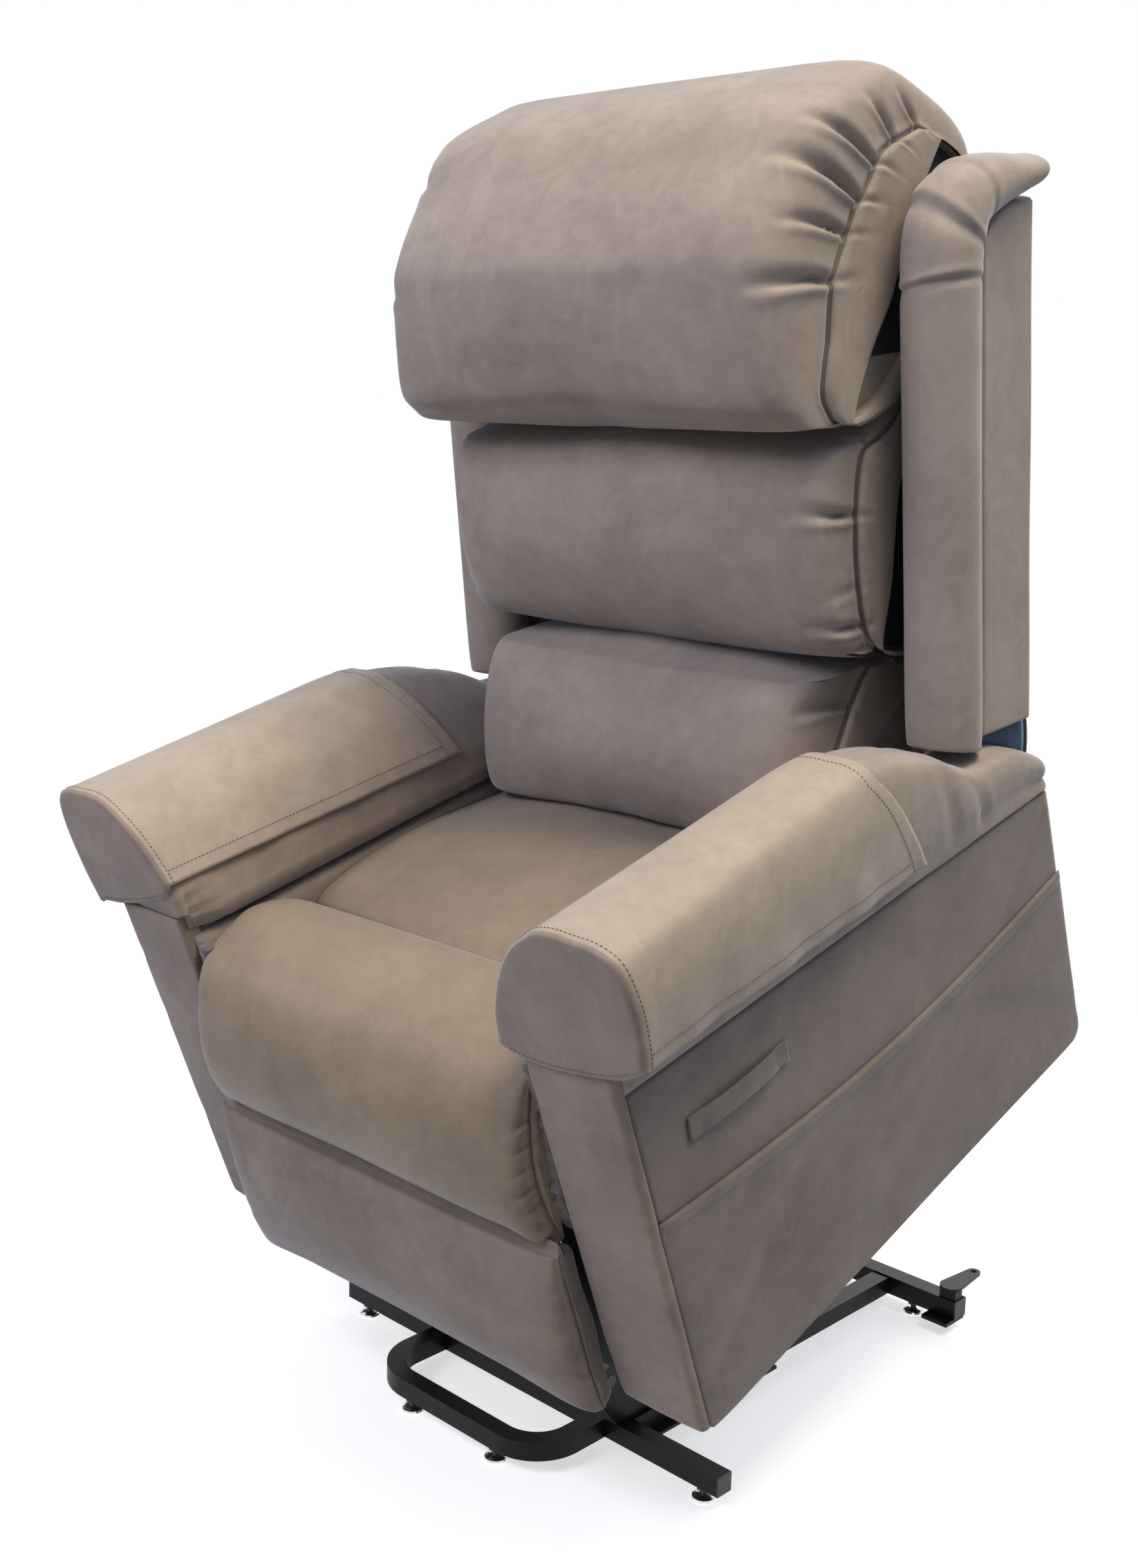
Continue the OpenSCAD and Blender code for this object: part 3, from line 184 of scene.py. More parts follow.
def suede(name, light, dark, nap=1.0):
    """Brushed microfibre: matt, with a pale sheen, cloudy nap marks and a very fine pile."""
    made = bpy.data.materials.new(name)
    made.use_nodes = True
    t = made.node_tree
    skin = t.nodes["Principled BSDF"]
    place = t.nodes.new("ShaderNodeTexCoord").outputs["Object"]

    def noise(scale, detail, rough=0.5, distort=0.0):
        n = t.nodes.new("ShaderNodeTexNoise")
        n.inputs["Scale"].default_value = scale
        n.inputs["Detail"].default_value = detail
        n.inputs["Roughness"].default_value = rough
        n.inputs["Distortion"].default_value = distort
        t.links.new(place, n.inputs["Vector"])
        return n.outputs["Fac"]

    def span(value, low, high, to_low, to_high):
        m = t.nodes.new("ShaderNodeMapRange")
        for k, x in zip(("From Min", "From Max", "To Min", "To Max"), (low, high, to_low, to_high)):
            m.inputs[k].default_value = x
        t.links.new(value, m.inputs["Value"])
        return m.outputs["Result"]

    def add(a, b):
        m = t.nodes.new("ShaderNodeMath")
        m.operation = "ADD"
        t.links.new(a, m.inputs[0])
        t.links.new(b, m.inputs[1])
        return m.outputs[0]

    clouds = span(noise(7, 3, 0.55, 0.6), 0.3, 0.7, 0, 0.55 * nap)
    strokes = span(noise(34, 4, 0.6, 1.2), 0.35, 0.7, 0, 0.34 * nap)
    pile = span(noise(900, 2, 0.6), 0.25, 0.75, 0, 0.22)
    tone = add(add(clouds, strokes), pile)
    ramp = t.nodes.new("ShaderNodeValToRGB")
    ramp.color_ramp.elements[0].color = (*dark, 1)
    ramp.color_ramp.elements[1].color = (*light, 1)
    t.links.new(tone, ramp.inputs["Fac"])
    t.links.new(ramp.outputs["Color"], skin.inputs["Base Color"])
    t.links.new(span(tone, 0, 1, 0.82, 0.62), skin.inputs["Roughness"])
    skin.inputs["Sheen Weight"].default_value = 0.42
    skin.inputs["Sheen Roughness"].default_value = 0.38
    skin.inputs["Sheen Tint"].default_value = (0.86, 0.9, 1.0, 1)
    skin.inputs["Specular IOR Level"].default_value = 0.28
    bump = t.nodes.new("ShaderNodeBump")
    bump.inputs["Strength"].default_value = 0.22
    bump.inputs["Distance"].default_value = 0.0006
    t.links.new(add(span(noise(1400, 3, 0.7), 0, 1, 0, 1), span(noise(180, 3), 0, 1, 0, 1.6)),
                bump.inputs["Height"])
    t.links.new(bump.outputs["Normal"], skin.inputs["Normal"])
    return made


# A darker copy of the cloth for the narrow strip along each sewn seam: painted shade in the seam's crease.
seam_shade_suede = suede("taupe_suede_seam_shade", (0.165, 0.133, 0.11), (0.11, 0.09, 0.076))
taupe_suede = suede("taupe_suede", (0.336, 0.276, 0.229), (0.226, 0.184, 0.158), 1.2)
# A darker copy of the cloth for the legrest pad, the sleeves' D-shaped fronts and the arm fronts: painted
# shade on faces turned away from the top light.
front_shade_suede = suede("taupe_suede_front_shaded", (0.268, 0.212, 0.168), (0.182, 0.143, 0.117), 1.2)
# A warmer, darker copy of the cloth for the seat and the front roll: the warm tint of the top light painted
# into the colour.
seat_warm_light_suede = suede("taupe_suede_seat_warm_light", (0.275, 0.212, 0.145), (0.190, 0.147, 0.103), 1.2)


def smooth_between(a, b, c, d, t):
    """The smooth curve from b to c at t from 0 to 1, where a and d are the points before and after."""
    return 0.5 * (2 * b + (c - a) * t + (2 * a - 5 * b + 4 * c - d) * t ** 2
                  + (3 * b - a - 3 * c + d) * t ** 3)


def length_along(line):
    """Distance along a line of points, from its start to each point."""
    return np.concatenate([[0], np.cumsum(np.linalg.norm(np.diff(line, axis=0), axis=1))])


def evenly(line, count, endpoint=True):
    """count evenly spaced points along a line of points."""
    run = length_along(line)
    at = np.linspace(0, run[-1], count, endpoint=endpoint)
    return np.stack([np.interp(at, run, line[:, k]) for k in range(line.shape[1])], -1)


CURVE_STEPS = (np.arange(24) / 24)[None, :, None]


def closed_curve(points, count):
    """count evenly spaced points along the smooth closed curve through the points."""
    p = np.asarray(points, float)
    a, b, c, d = (np.roll(p, k, 0)[:, None, :] for k in (1, 0, -1, -2))
    q = smooth_between(a, b, c, d, CURVE_STEPS).reshape(-1, p.shape[1])
    return evenly(np.vstack([q, q[:1]]), count, endpoint=False)


def piece(name, points, faces, material):
    """A smooth mesh object from points in metres."""
    mesh = bpy.data.meshes.new(name)
    mesh.from_pydata([tuple(p) for p in np.asarray(points, float).reshape(-1, 3)], [], faces)
    mesh.validate()
    mesh.shade_smooth()
    mesh.materials.append(material)
    made = bpy.data.objects.new(name, mesh)
    scene.collection.objects.link(made)
    return made


def grid_faces(rows, columns, wrap=True, start=0):
    """Quads of a grid of points, whose columns close into a ring where wrap is true."""
    last = columns if wrap else columns - 1
    return [(start + i * columns + j, start + i * columns + (j + 1) % columns,
             start + (i + 1) * columns + (j + 1) % columns, start + (i + 1) * columns + j)
            for i in range(rows - 1) for j in range(last)]


def outward(rings):
    """Unit normals of a closed grid of rings, pointing out."""
    along = np.gradient(rings, axis=0)
    around = np.roll(rings, -1, 1) - np.roll(rings, 1, 1)
    n = np.cross(along, around)
    n /= np.maximum(np.linalg.norm(n, axis=-1, keepdims=True), 1e-12)
    middle = rings.reshape(-1, 3).mean(0)
    return n if (n * (rings - middle)).sum() > 0 else -n


def loft(name, rings, material):
    """A closed skin over rings, its ends closed by a fan."""
    m, n = rings.shape[:2]
    ends = np.stack([rings[0].mean(0), rings[-1].mean(0)])
    faces = grid_faces(m, n)
    faces += [(m * n, (j + 1) % n, j) for j in range(n)]
    faces += [(m * n + 1, (m - 1) * n + j, (m - 1) * n + (j + 1) % n) for j in range(n)]
    made = piece(name, np.vstack([rings.reshape(-1, 3), ends]), faces, material)
    if (outward(rings) * np.cross(np.gradient(rings, axis=0),
                                  np.roll(rings, -1, 1) - np.roll(rings, 1, 1))).sum() > 0:
        made.data.flip_normals()
    return made


def cubic(values, at, axis=0, wrap=False):
    """Smooth values between the grid's own places; at holds places as fractional indices."""
    v = np.moveaxis(np.asarray(values, float), axis, 0)
    n = len(v)
    i = np.floor(at).astype(int)
    if not wrap:
        i = np.clip(i, 0, n - 2)
    t = (at - i).reshape((-1,) + (1,) * (v.ndim - 1))
    pick = (lambda k: v[(i + k) % n]) if wrap else (lambda k: v[np.clip(i + k, 0, n - 1)])
    return np.moveaxis(smooth_between(pick(-1), pick(0), pick(1), pick(2), t), 0, axis)


def swell(rings, held, pressure=4.0, cap=0.024, frames=20):
    """How far each point of a closed grid of rings moves when the cushion is blown up as cloth."""
    m, n = rings.shape[:2]
    soft = loft("swelling", rings, taupe_suede)
    bpy.context.view_layer.objects.active = soft
    group = soft.vertex_groups.new(name="held")
    group.add([int(k) for k in np.flatnonzero(held.reshape(-1))] + [m * n, m * n + 1], 1.0, "REPLACE")
    cloth = soft.modifiers.new("cloth", "CLOTH")
    s = cloth.settings
    s.quality = 6
    s.mass = 0.3
    s.tension_stiffness = s.compression_stiffness = 14
    s.shear_stiffness = 6
    s.bending_stiffness = 1.5
    s.use_pressure = True
    s.uniform_pressure_force = pressure
    s.vertex_group_mass = "held"
    s.effector_weights.gravity = 0
    cloth.collision_settings.use_collision = False
    cloth.point_cache.frame_start, cloth.point_cache.frame_end = 1, frames
    for f in range(1, frames + 1):
        scene.frame_set(f)
    done = soft.evaluated_get(bpy.context.evaluated_depsgraph_get())
    flat = np.zeros(len(done.data.vertices) * 3, np.float32)
    done.data.vertices.foreach_get("co", flat)
    moved = flat.reshape(-1, 3)[:m * n].reshape(m, n, 3) - rings
    bpy.data.objects.remove(soft)
    scene.frame_set(1)
    size = np.linalg.norm(moved, axis=-1, keepdims=True)
    return moved * np.minimum(1, cap / np.maximum(size, 1e-9))


def from_edge(r, half, rim):
    """Distance over the cloth from the side seam to a place r in from it, as the front curls back there."""
    return rim * (1 - (1 - min(r, half) / half) ** 12) ** 0.25 + r


def side_places(half, step=6.0):
    """Places across a cushion, close together near its side seams."""
    part = np.array([0, 0.012, 0.026, 0.045, 0.07, 0.1, 0.14, 0.19, 0.25, 0.32, 0.4, 0.48, 0.56, 0.64, 0.72,
                     0.79, 0.85, 0.9])
    near = half * (1 - (1 - part ** 4) ** (1 / 12))
    inner = half - near[-1]
    mid = np.linspace(-inner, inner, max(3, int(2 * inner / step)))[1:-1]
    return np.concatenate([near - half, mid, (half - near)[::-1]])


NEAR_SEAM = np.array([0.8, 1.7, 2.8, 4.3, 6.4, 9.5, 14, 20, 27, 35])  # places on a side band, from its seam
FAR_IN = 999.0       # stands for a place past the side band, where nothing is sewn
BACK_OF_BAND = -9.0  # how far in from the seam the cushion's end lies behind its side band


def cushion_rings(outline, root, half, places, ends, crown, gusset, bulge, fine=True, lined=None):
    """Rings across X of a boxed cushion. ends is how far depth, height above and height below the
    root shrink at the side seams; gusset is the width of the side bands behind those seams, and
    lined is a line of (depth, height) where those bands end and the dark lining starts. That lining
    is near-black cloth that also paints the shade of the recess behind the bands."""
    outline, root = np.asarray(outline, float), np.asarray(root, float)
    depth, high, low = ends
    depth = np.interp(outline[:, 1], *depth) if isinstance(depth, tuple) else depth
    d = outline - root
    up = d[:, 1] > 0
    rings = []

    def ring(x, kd, kh, kl):
        return np.stack([np.full(len(d), float(x)), root[0] + d[:, 0] * kd,
                         root[1] + d[:, 1] * np.where(up, kh, kl)], -1)

    for x in places:
        u = x / half
        s = max(0.0, 1 - abs(u) ** 12) ** 0.25
        full = 1 - crown * u * u
        rings.append(ring(x, (depth + (1 - depth) * s) * full,
                          (high + (1 - high) * s) * (1 - 0.5 * crown * u * u), low + (1 - low) * s))
    end = rings[-1]
    inward = np.array([half, *root]) - end
    reach = np.linalg.norm(inward, axis=1)
    inward = inward / np.maximum(reach, 1e-6)[:, None]
    width = None
    if lined is not None:
        tries = np.linspace(0, 1, 120)[:, None] * reach * 0.86
        path = end[None, :, 1:] + tries[..., None] * inward[None, :, 1:]
        past = path[..., 0] > np.interp(path[..., 1], lined[:, 1], lined[:, 0])
        first = np.take_along_axis(tries, past.argmax(0)[None], 0)[0]
        width = np.maximum(np.where(past.any(0), first, reach * 0.86), 1.5)
        for _ in range(3):
            width = (np.roll(width, 1) + 2 * width + np.roll(width, -1)) / 4
    if fine:
        offs = [*NEAR_SEAM[NEAR_SEAM < gusset - 14], gusset - 9, gusset - 4, gusset - 1.2, gusset,
                gusset + 1.5, gusset + 4]
        inner = [0.72, 0.85, 0.95] if lined is None else [*np.arange(0.025, 0.45, 0.025), 0.6, 0.8, 0.95]
    else:
        offs, inner = [gusset * 0.35, gusset], [0.8]
    tail = []

    def cap_ring(go, out):
        r = end + inward * go[:, None]
        r[:, 0] = half + out
        tail.append(r)

    for off in offs:
        if width is None:
            go = np.minimum(off, reach * (0.2 + 0.5 * off / (gusset + 6)))
        else:
            go = np.minimum(width * off / gusset if off <= gusset else width + (off - gusset), reach * 0.97)
        t = off / gusset
        cap_ring(go, bulge * (1 - math.exp(-off / 10)) * (1 - 0.25 * t) if t <= 1.0 else
                 BACK_OF_BAND * min(1.0, (t - 1) * gusset / 4))
    for part in inner:
        if width is None:
            go = np.maximum(reach * part, np.minimum(gusset + 5, reach * 0.7))
        else:
            go = np.minimum(width + 6 + (reach - width - 6) * part, reach * 0.97)
        cap_ring(go, BACK_OF_BAND)
    head = [r * np.array([-1, 1, 1]) for r in tail[::-1]]
    return np.array(head + rings + tail), len(tail), [0, *offs] + [FAR_IN] * len(inner)


def side_marks(outline, root, ends, crown, rows, weak=0.6):
    """Pleats at both side seams. Each row is a place on the seam, a place on the front, both as
    (depth, height), and a length, a width and a depth; weak is the share at the sitter's right."""
    outline, root = np.asarray(outline, float), np.asarray(root, float)
    d = outline - root
    kd, kh, kl = ends
    kd = np.interp(outline[:, 1], *kd) if isinstance(kd, tuple) else kd
    end = root + np.stack([d[:, 0] * kd * (1 - crown), d[:, 1] * np.where(d[:, 1] > 0, kh, kl)], -1)

    def part(curve, point):
        gaps = np.linalg.norm(np.roll(curve, -1, 0) - curve, axis=1)
        k = int(np.argmin(np.linalg.norm(curve - np.asarray(point, float), axis=1)))
        return gaps[:k].sum() / gaps.sum()

    made = []
    for seam_point, inner_point, length, width, depth in rows:
        a, b = part(end, seam_point), part(outline, inner_point)
        made += [(side, a, b, length, width, depth * (1 if side > 0 else weak)) for side in (1, -1)]
    return made


def pleats(rings, caps, offs, half, rim, marks):
    """How far pleats sink or lift each point: sharp on one side, soft on the other."""
    shift = np.zeros(rings.shape[:2])
    on_band = 34.0  # how far a pleat runs on over the side band
    count = len(rings)
    for i in range(count):
        ring = rings[i]
        gaps = np.linalg.norm(np.roll(ring, -1, 0) - ring, axis=1)
        run = np.concatenate([[0], np.cumsum(gaps)[:-1]])
        total = gaps.sum()
        edge = min(i, count - 1 - i)
        side_here = 1 if i >= count / 2 else -1
        r = max(0.0, half - abs(ring[:, 0].mean())) if edge >= caps else 0.0
        d = from_edge(r, half, rim)
        turned = (1 - (1 - r / half) ** 12) ** 0.25 / 0.95
        for side, a, b, length, width, depth in marks:
            if side != side_here or d > length or (edge < caps and offs[caps - edge] > on_band):
                continue
            if edge >= caps:
                fade = (1 - d / length) ** 0.9 * (0.25 + 0.75 * min(1.0, d / 12.0))
            else:
                fade = 0.25 * (1 - offs[caps - edge] / on_band)
            centre = (a + (b - a) * turned) * total
            off_line = (run - centre + total / 2) % total - total / 2
            wide = width * (0.7 + 0.9 * d / length)
            q = off_line / wide
            steep = np.where(q > 0, q / 0.5, q / 1.2)
            shift[i] += fade * depth * (-np.exp(-steep ** 2) + 0.34 * np.exp(-((q - 1.2) / 0.7) ** 2)
                                        + 0.1 * np.exp(-((q + 2.4) / 1.2) ** 2))
    return shift


def seams(rings, half, rim, caps, offs, gusset, depth=2.5, wide=1.5, lip=1.3):
    """Sewn creases along both edges of the side bands, with a slight lip beside them."""
    x = np.abs(rings[:, :, 0].mean(1))
    index = np.minimum(np.arange(len(rings)), len(rings) - 1 - np.arange(len(rings)))
    off = np.array([offs[caps - i] if i < caps else from_edge(max(0.0, half - x[k]), half, rim)
                    for k, i in enumerate(index)], float)
    cap = index < caps
    shift = -depth * np.exp(-(off / wide) ** 2) + lip * np.exp(-((off - 7) / 3.8) ** 2)
    shift = shift - np.where(cap, 2.2 * np.exp(-((off - gusset) / 1.6) ** 2), 0)
    return shift[:, None] * np.ones(rings.shape[1])[None]


def ripples(rings, seed, size, height):
    """Slow, shallow unevenness of stuffed cloth."""
    rng = np.random.default_rng(seed)
    p = rings / size
    total = np.zeros(rings.shape[:2])
    for _ in range(7):
        k = rng.normal(size=3)
        total += np.sin(p @ k + rng.uniform(0, 2 * math.pi)) * rng.uniform(0.5, 1)
    return total * height / 4


def stuffed(name, outline, root, half, ends, place, body, replaced, marks=(), seed=1, crown=0.035, inset=5.0,
            held_back=None, cap=0.024, bulge=7.0, gusset=70.0, pressure=4.0, ripple=1.2, keep_x=None,
            lining=None, lined=None, tip=None, cloth=taupe_suede, bare_below=-1e4):
    """A boxed cushion: a stuffed form, blown up as cloth, then creased, pleated and put in place.
    keep_x limits its half width and its lining ends at bare_below. tip lowers its bottom corners: the
    height it starts at, how far they drop, and how wide the dropped part is."""
    around = len(outline)
    places = side_places(half)
    rings, caps, offs = cushion_rings(outline, root, half, places, ends, crown, gusset, bulge, True, lined)
    coarse = 64
    some = np.linspace(0, around, coarse, endpoint=False).astype(int)
    wide = np.concatenate([[-half], np.linspace(-half + 8, half - 8, int(2 * half / 17)), [half]])
    rough, rough_caps, _ = cushion_rings(outline[some], root, half, wide, ends, crown, gusset, bulge,
                                         False, lined)
    held = held_back(rough) if held_back else np.zeros(rough.shape[:2], bool)
    held[:rough_caps + 1] = held[-rough_caps - 1:] = True
    moved = swell(rough / 1000, held, pressure, cap) * 1000
    for _ in range(4):
        moved = (np.roll(moved, 1, 1) + 2 * moved + np.roll(moved, -1, 1)) / 4
        calm = moved.copy()
        calm[1:-1] = (moved[:-2] + 2 * moved[1:-1] + moved[2:]) / 4
        calm[:rough_caps + 1] = calm[-rough_caps - 1:] = 0
        moved = calm
    at = np.zeros(len(rings))
    at[caps:len(rings) - caps] = rough_caps + np.interp(places, wide, np.arange(len(wide)))
    at[len(rings) - caps:] = len(rough) - 1 - rough_caps
    at[:caps] = rough_caps
    moved = cubic(moved, at, 0)
    rings = rings + cubic(moved, np.arange(around) * coarse / around, 1, wrap=True)
    n = outward(rings)
    held = held_back(rings) if held_back else np.zeros(rings.shape[:2], bool)
    rim = float(np.percentile(np.linalg.norm(rings[-caps - 18] - rings[-caps - 1], axis=1), 80)) / 0.9
    shift = pleats(rings, caps, offs, half, rim, marks) + seams(rings, half, rim, caps, offs, gusset)
    shift = shift + ripples(rings, seed, 95.0, ripple) - inset
    row = np.arange(len(rings))
    near = np.minimum(row, len(rings) - 1 - row) < caps
    shift = np.where(near[:, None], shift + inset * 0.9, shift)
    rings = rings + n * np.where(held, 0, shift)[..., None]
    if tip:
        out = np.clip((np.abs(rings[..., 0]) - (half - tip[2])) / tip[2], 0, 1) ** 1.6
        down = np.clip((tip[0] + 34 - rings[..., 2]) / 34, 0, 1) * (rings[..., 1] < 2)
        rings[..., 2] -= tip[1] * out * down * down * (3 - 2 * down)
    if keep_x:
        rings[..., 0] = np.clip(rings[..., 0], -keep_x, keep_x)
    if bare_below > 0:
        past_band = [i for i in range(caps) if offs[caps - i] == FAR_IN]
        for rows in (past_band, [len(rings) - 1 - i for i in past_band]):
            w = rings[rows, :, 2] - bare_below
            for j, k in enumerate(np.abs(w).argmin(0)):
                for o in (k - 1, k + 1):
                    if 0 <= o < len(rows) and w[o, j] * w[k, j] < 0:
                        t = w[k, j] / (w[k, j] - w[o, j])
                        rings[rows[k], j] = rings[rows[k], j] * (1 - t) + rings[rows[o], j] * t
                        break
    made = loft(name, place(rings), cloth)
    made.data.materials.append(lining or cloth)
    made.data.materials.append(seam_shade_suede)
    m, k = rings.shape[:2]
    # Faces on the rings right beside each seam take the darker seam cloth, a painted shade line in the
    # crease.
    for f in made.data.polygons:
        edges = [min(v // k, m - 1 - v // k) for v in f.vertices]
        if min(edges) >= caps - 1 and max(edges) <= caps and max(f.vertices) < m * k:
            f.material_index = 2
    # Faces past the side bands, and on the band behind lined, take the lining: partly the real dark lining,
    # partly painted shade in the recess.
    if lining:
        inside = [o > gusset + 1 for o in offs]
        for f in made.data.polygons:
            rows = [v // k for v in f.vertices]
            edges = [min(r, m - 1 - r) for r in rows]
            dark = max(rows) >= m or (max(edges) < caps and any(inside[caps - e] for e in edges))
            if not dark and min(edges) >= caps - 1 and max(rows) < m and lined is not None:
                beside = half - abs(rings[rows[0], :, 0].mean()) < 14
                spots = np.array([rings[caps if r < m / 2 else m - 1 - caps, v % k, 1:]
                                  for r, v in zip(rows, f.vertices)])
                behind = np.all(spots[:, 0] > np.interp(spots[:, 1], lined[:, 1], lined[:, 0]) - 2)
                dark = beside and bool(behind and spots[:, 1].max() < lined[:, 1].mean())
            if dark and max(rows) < m:
                dark = np.mean([rings[r, v % k, 2] for r, v in zip(rows, f.vertices)]) > bare_below
            if dark:
                f.material_index = 1
    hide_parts(*replaced)
    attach(made, body)
    return made


BACK_TOP, BACK_FRONT = 788.0, 61.5  # the box's top and front, in the back's leaning frame


def two_tone(name, texture, scale, dark, light, rough):
    """A matt finish that runs between two tones over a fine texture."""
    made = bpy.data.materials.new(name)
    made.use_nodes = True
    t = made.node_tree
    skin = t.nodes["Principled BSDF"]
    weave = t.nodes.new(texture)
    weave.inputs["Scale"].default_value = scale
    ramp = t.nodes.new("ShaderNodeValToRGB")
    ramp.color_ramp.elements[0].color = (*dark, 1)
    ramp.color_ramp.elements[1].color = (*light, 1)
    t.links.new(t.nodes.new("ShaderNodeTexCoord").outputs["Object"], weave.inputs["Vector"])
    t.links.new(weave.outputs["Fac"], ramp.inputs["Fac"])
    t.links.new(ramp.outputs["Color"], skin.inputs["Base Color"])
    skin.inputs["Roughness"].default_value = rough
    return made


# Near-black cloth: the real dark lining and black tape, and also painted shade where it fills recesses and
# gaps (behind the pillows' side bands, the legrest guards, inside the arms and the apron).
lining_and_shade_cloth = two_tone("dark_lining_and_shade", "ShaderNodeTexNoise", 420, (0.006, 0.007, 0.01), (0.016, 0.019, 0.027),
                       0.9)
head_outline = closed_curve([
    (60, 655), (60, BACK_TOP - 24), (63, BACK_TOP - 3), (92, BACK_TOP), (120, BACK_TOP + 2),
    (135, BACK_TOP + 17), (138, BACK_TOP + 46), (126, BACK_TOP + 76), (93, BACK_TOP + 103),
    (41, BACK_TOP + 128), (-20, BACK_TOP + 150), (-68, BACK_TOP + 140), (-154, BACK_TOP + 106),
    (-202, BACK_TOP + 44), (-247, BACK_TOP - 28), (-257, BACK_TOP - 74), (-258, 616),
    (-236, 584), (-205, 569), (-140, 573), (-74, 592), (-20, 632), (20, 649)], 300)
head_root, head_half = (BACK_FRONT, BACK_TOP - 3), 297.0
head_ends = (([575, 611, 656, 716, 758, 799, 870, 940], [0.73, 0.71, 0.67, 0.649, 0.585, 0.546, 0.53, 0.55]),
             0.5, 0.98)
head_marks = [(side, a, b, length, width, depth * (1 if side > 0 else 0.6)) for side in (1, -1)
              for a, b, length, width, depth in (
                  (0.328, 0.374, 66, 5, 9), (0.376, 0.404, 84, 5.5, 11), (0.422, 0.471, 138, 6.5, 13),
                  (0.472, 0.510, 165, 7.5, 16), (0.517, 0.568, 118, 6, 12), (0.575, 0.626, 148, 7.5, 15))]
stuffed("head_pillow_cover", head_outline, head_root, head_half, head_ends, on_back, "backrest",
        ["head_pillow"], head_marks, seed=3,
        held_back=lambda r: (r[..., 1] > BACK_FRONT - 4) & (r[..., 2] < BACK_TOP + 8),
        gusset=70.0, keep_x=306.5, lining=lining_and_shade_cloth, bare_below=637.0,
        lined=np.array([(-118, 566), (-108, 596), (-99, 612), (-77, 650), (-41, 695), (-11, 756), (11, 794),
                        (48, 851), (90, 880)]))

# ---- Middle and lower pillows ----
# Two smaller stuffed pillows of the same cloth below it, sewn as it is, with a few pleats at each
# side seam. Their flat backs are fixed to the inner cover.
middle_outline = closed_curve([
    (60, 306), (60, 470), (60, 641), (20, 635), (-24, 618), (-68, 580), (-110, 562), (-150, 551),
    (-168, 520), (-177, 454), (-172, 400), (-160, 354), (-140, 328), (-108, 315), (-50, 307)], 240)
middle_outline = np.clip(middle_outline, (-1e4, 302.5), (BACK_FRONT, 642))
middle_root, middle_ends = (BACK_FRONT, 440), (0.70, 0.95, 0.97)
middle_marks = side_marks(middle_outline, middle_root, middle_ends, 0.035, [
    ((-84, 558), (-78, 563), 80, 5.5, 9), ((-98, 478), (-137, 478), 118, 6.5, 13),
    ((-101, 400), (-144, 392), 60, 6, 5), ((-91, 354), (-142, 362), 112, 6.5, 12),
    ((-77, 330), (-120, 328), 70, 6, 7)])
stuffed("middle_pillow_cover", middle_outline, middle_root, 292.0, middle_ends, on_back, "backrest",
        ["middle_pillow"], middle_marks, seed=5, held_back=lambda r: r[..., 1] > BACK_FRONT - 4, gusset=66.0,
        keep_x=303.0, lining=lining_and_shade_cloth,
        lined=np.array([(-62, 336), (-41, 397), (-29, 480), (-8, 547), (24, 592), (45, 625)]))
lower_outline = closed_curve([
    (60, 134), (60, 297), (-40, 300), (-120, 307), (-152, 303), (-178, 284), (-192, 243), (-199, 195),
    (-199, 145), (-192, 112), (-172, 97), (-120, 97), (-60, 107), (10, 121)], 200)
lower_outline = np.clip(lower_outline, (-1e4, 0), (BACK_FRONT, 301))
lower_root = (BACK_FRONT, 215)
lower_ends = (([100, 150, 200, 250, 300], [0.74, 0.72, 0.64, 0.54, 0.42]), 0.96, 0.97)
lower_marks = side_marks(lower_outline, lower_root, lower_ends, 0.035, [
    ((-66, 261), (-175, 262), 96, 6.5, 11), ((-104, 190), (-190, 186), 50, 7, 4)])
stuffed("lower_pillow_cover", lower_outline, lower_root, 255.0, lower_ends, on_back, "backrest",
        ["lower_pillow"], lower_marks, seed=7, held_back=lambda r: r[..., 1] > BACK_FRONT - 4, gusset=80.0,
        keep_x=264.0)

# ---- Seat cushion and front roll ----
# The seat is foam under the same cloth. A sewn seam across it starts the thick front roll,
# which rolls over the front rail and hangs down to the legrest.
CUSHION_Z, CUSHION_TOP, SEAM_Y, SEAT_BACK = 287.5, 392.5, 160.0, 565.0
seat_outline = closed_curve([
    (SEAT_BACK - 4, CUSHION_Z), (SEAT_BACK - 3, CUSHION_TOP - 58), (SEAT_BACK - 24, CUSHION_TOP - 42),
    (SEAT_BACK - 80, CUSHION_TOP - 31), (SEAT_BACK - 140, CUSHION_TOP - 19),
    (SEAT_BACK - 220, CUSHION_TOP - 5),
    (SEAM_Y + 100, CUSHION_TOP), (SEAM_Y + 40, CUSHION_TOP - 3), (SEAM_Y + 10, CUSHION_TOP - 13),
    (SEAM_Y + 3, CUSHION_TOP - 26), (SEAM_Y + 2, CUSHION_Z + 30), (SEAM_Y + 6, CUSHION_Z + 4),
    (SEAM_Y + 60, CUSHION_Z + 1), (SEAT_BACK - 120, CUSHION_Z + 1)], 200)
seat_outline = np.clip(seat_outline, (SEAM_Y + 1, CUSHION_Z), (SEAT_BACK, 1e4))
stuffed("seat_cushion_cover", seat_outline, ((SEAM_Y + SEAT_BACK) / 2, CUSHION_Z), 261.5, (0.99, 0.9, 0.97),
        on_body, "chassis", ["seat_cushion"], [], seed=11, inset=1.5, crown=0.03, cap=0.014, pressure=2.5,
        held_back=lambda r: (r[..., 2] < CUSHION_Z + 40) | (r[..., 1] < SEAM_Y + 8), gusset=34.0, bulge=2.0,
        keep_x=263.6, ripple=1.8, cloth=seat_warm_light_suede)
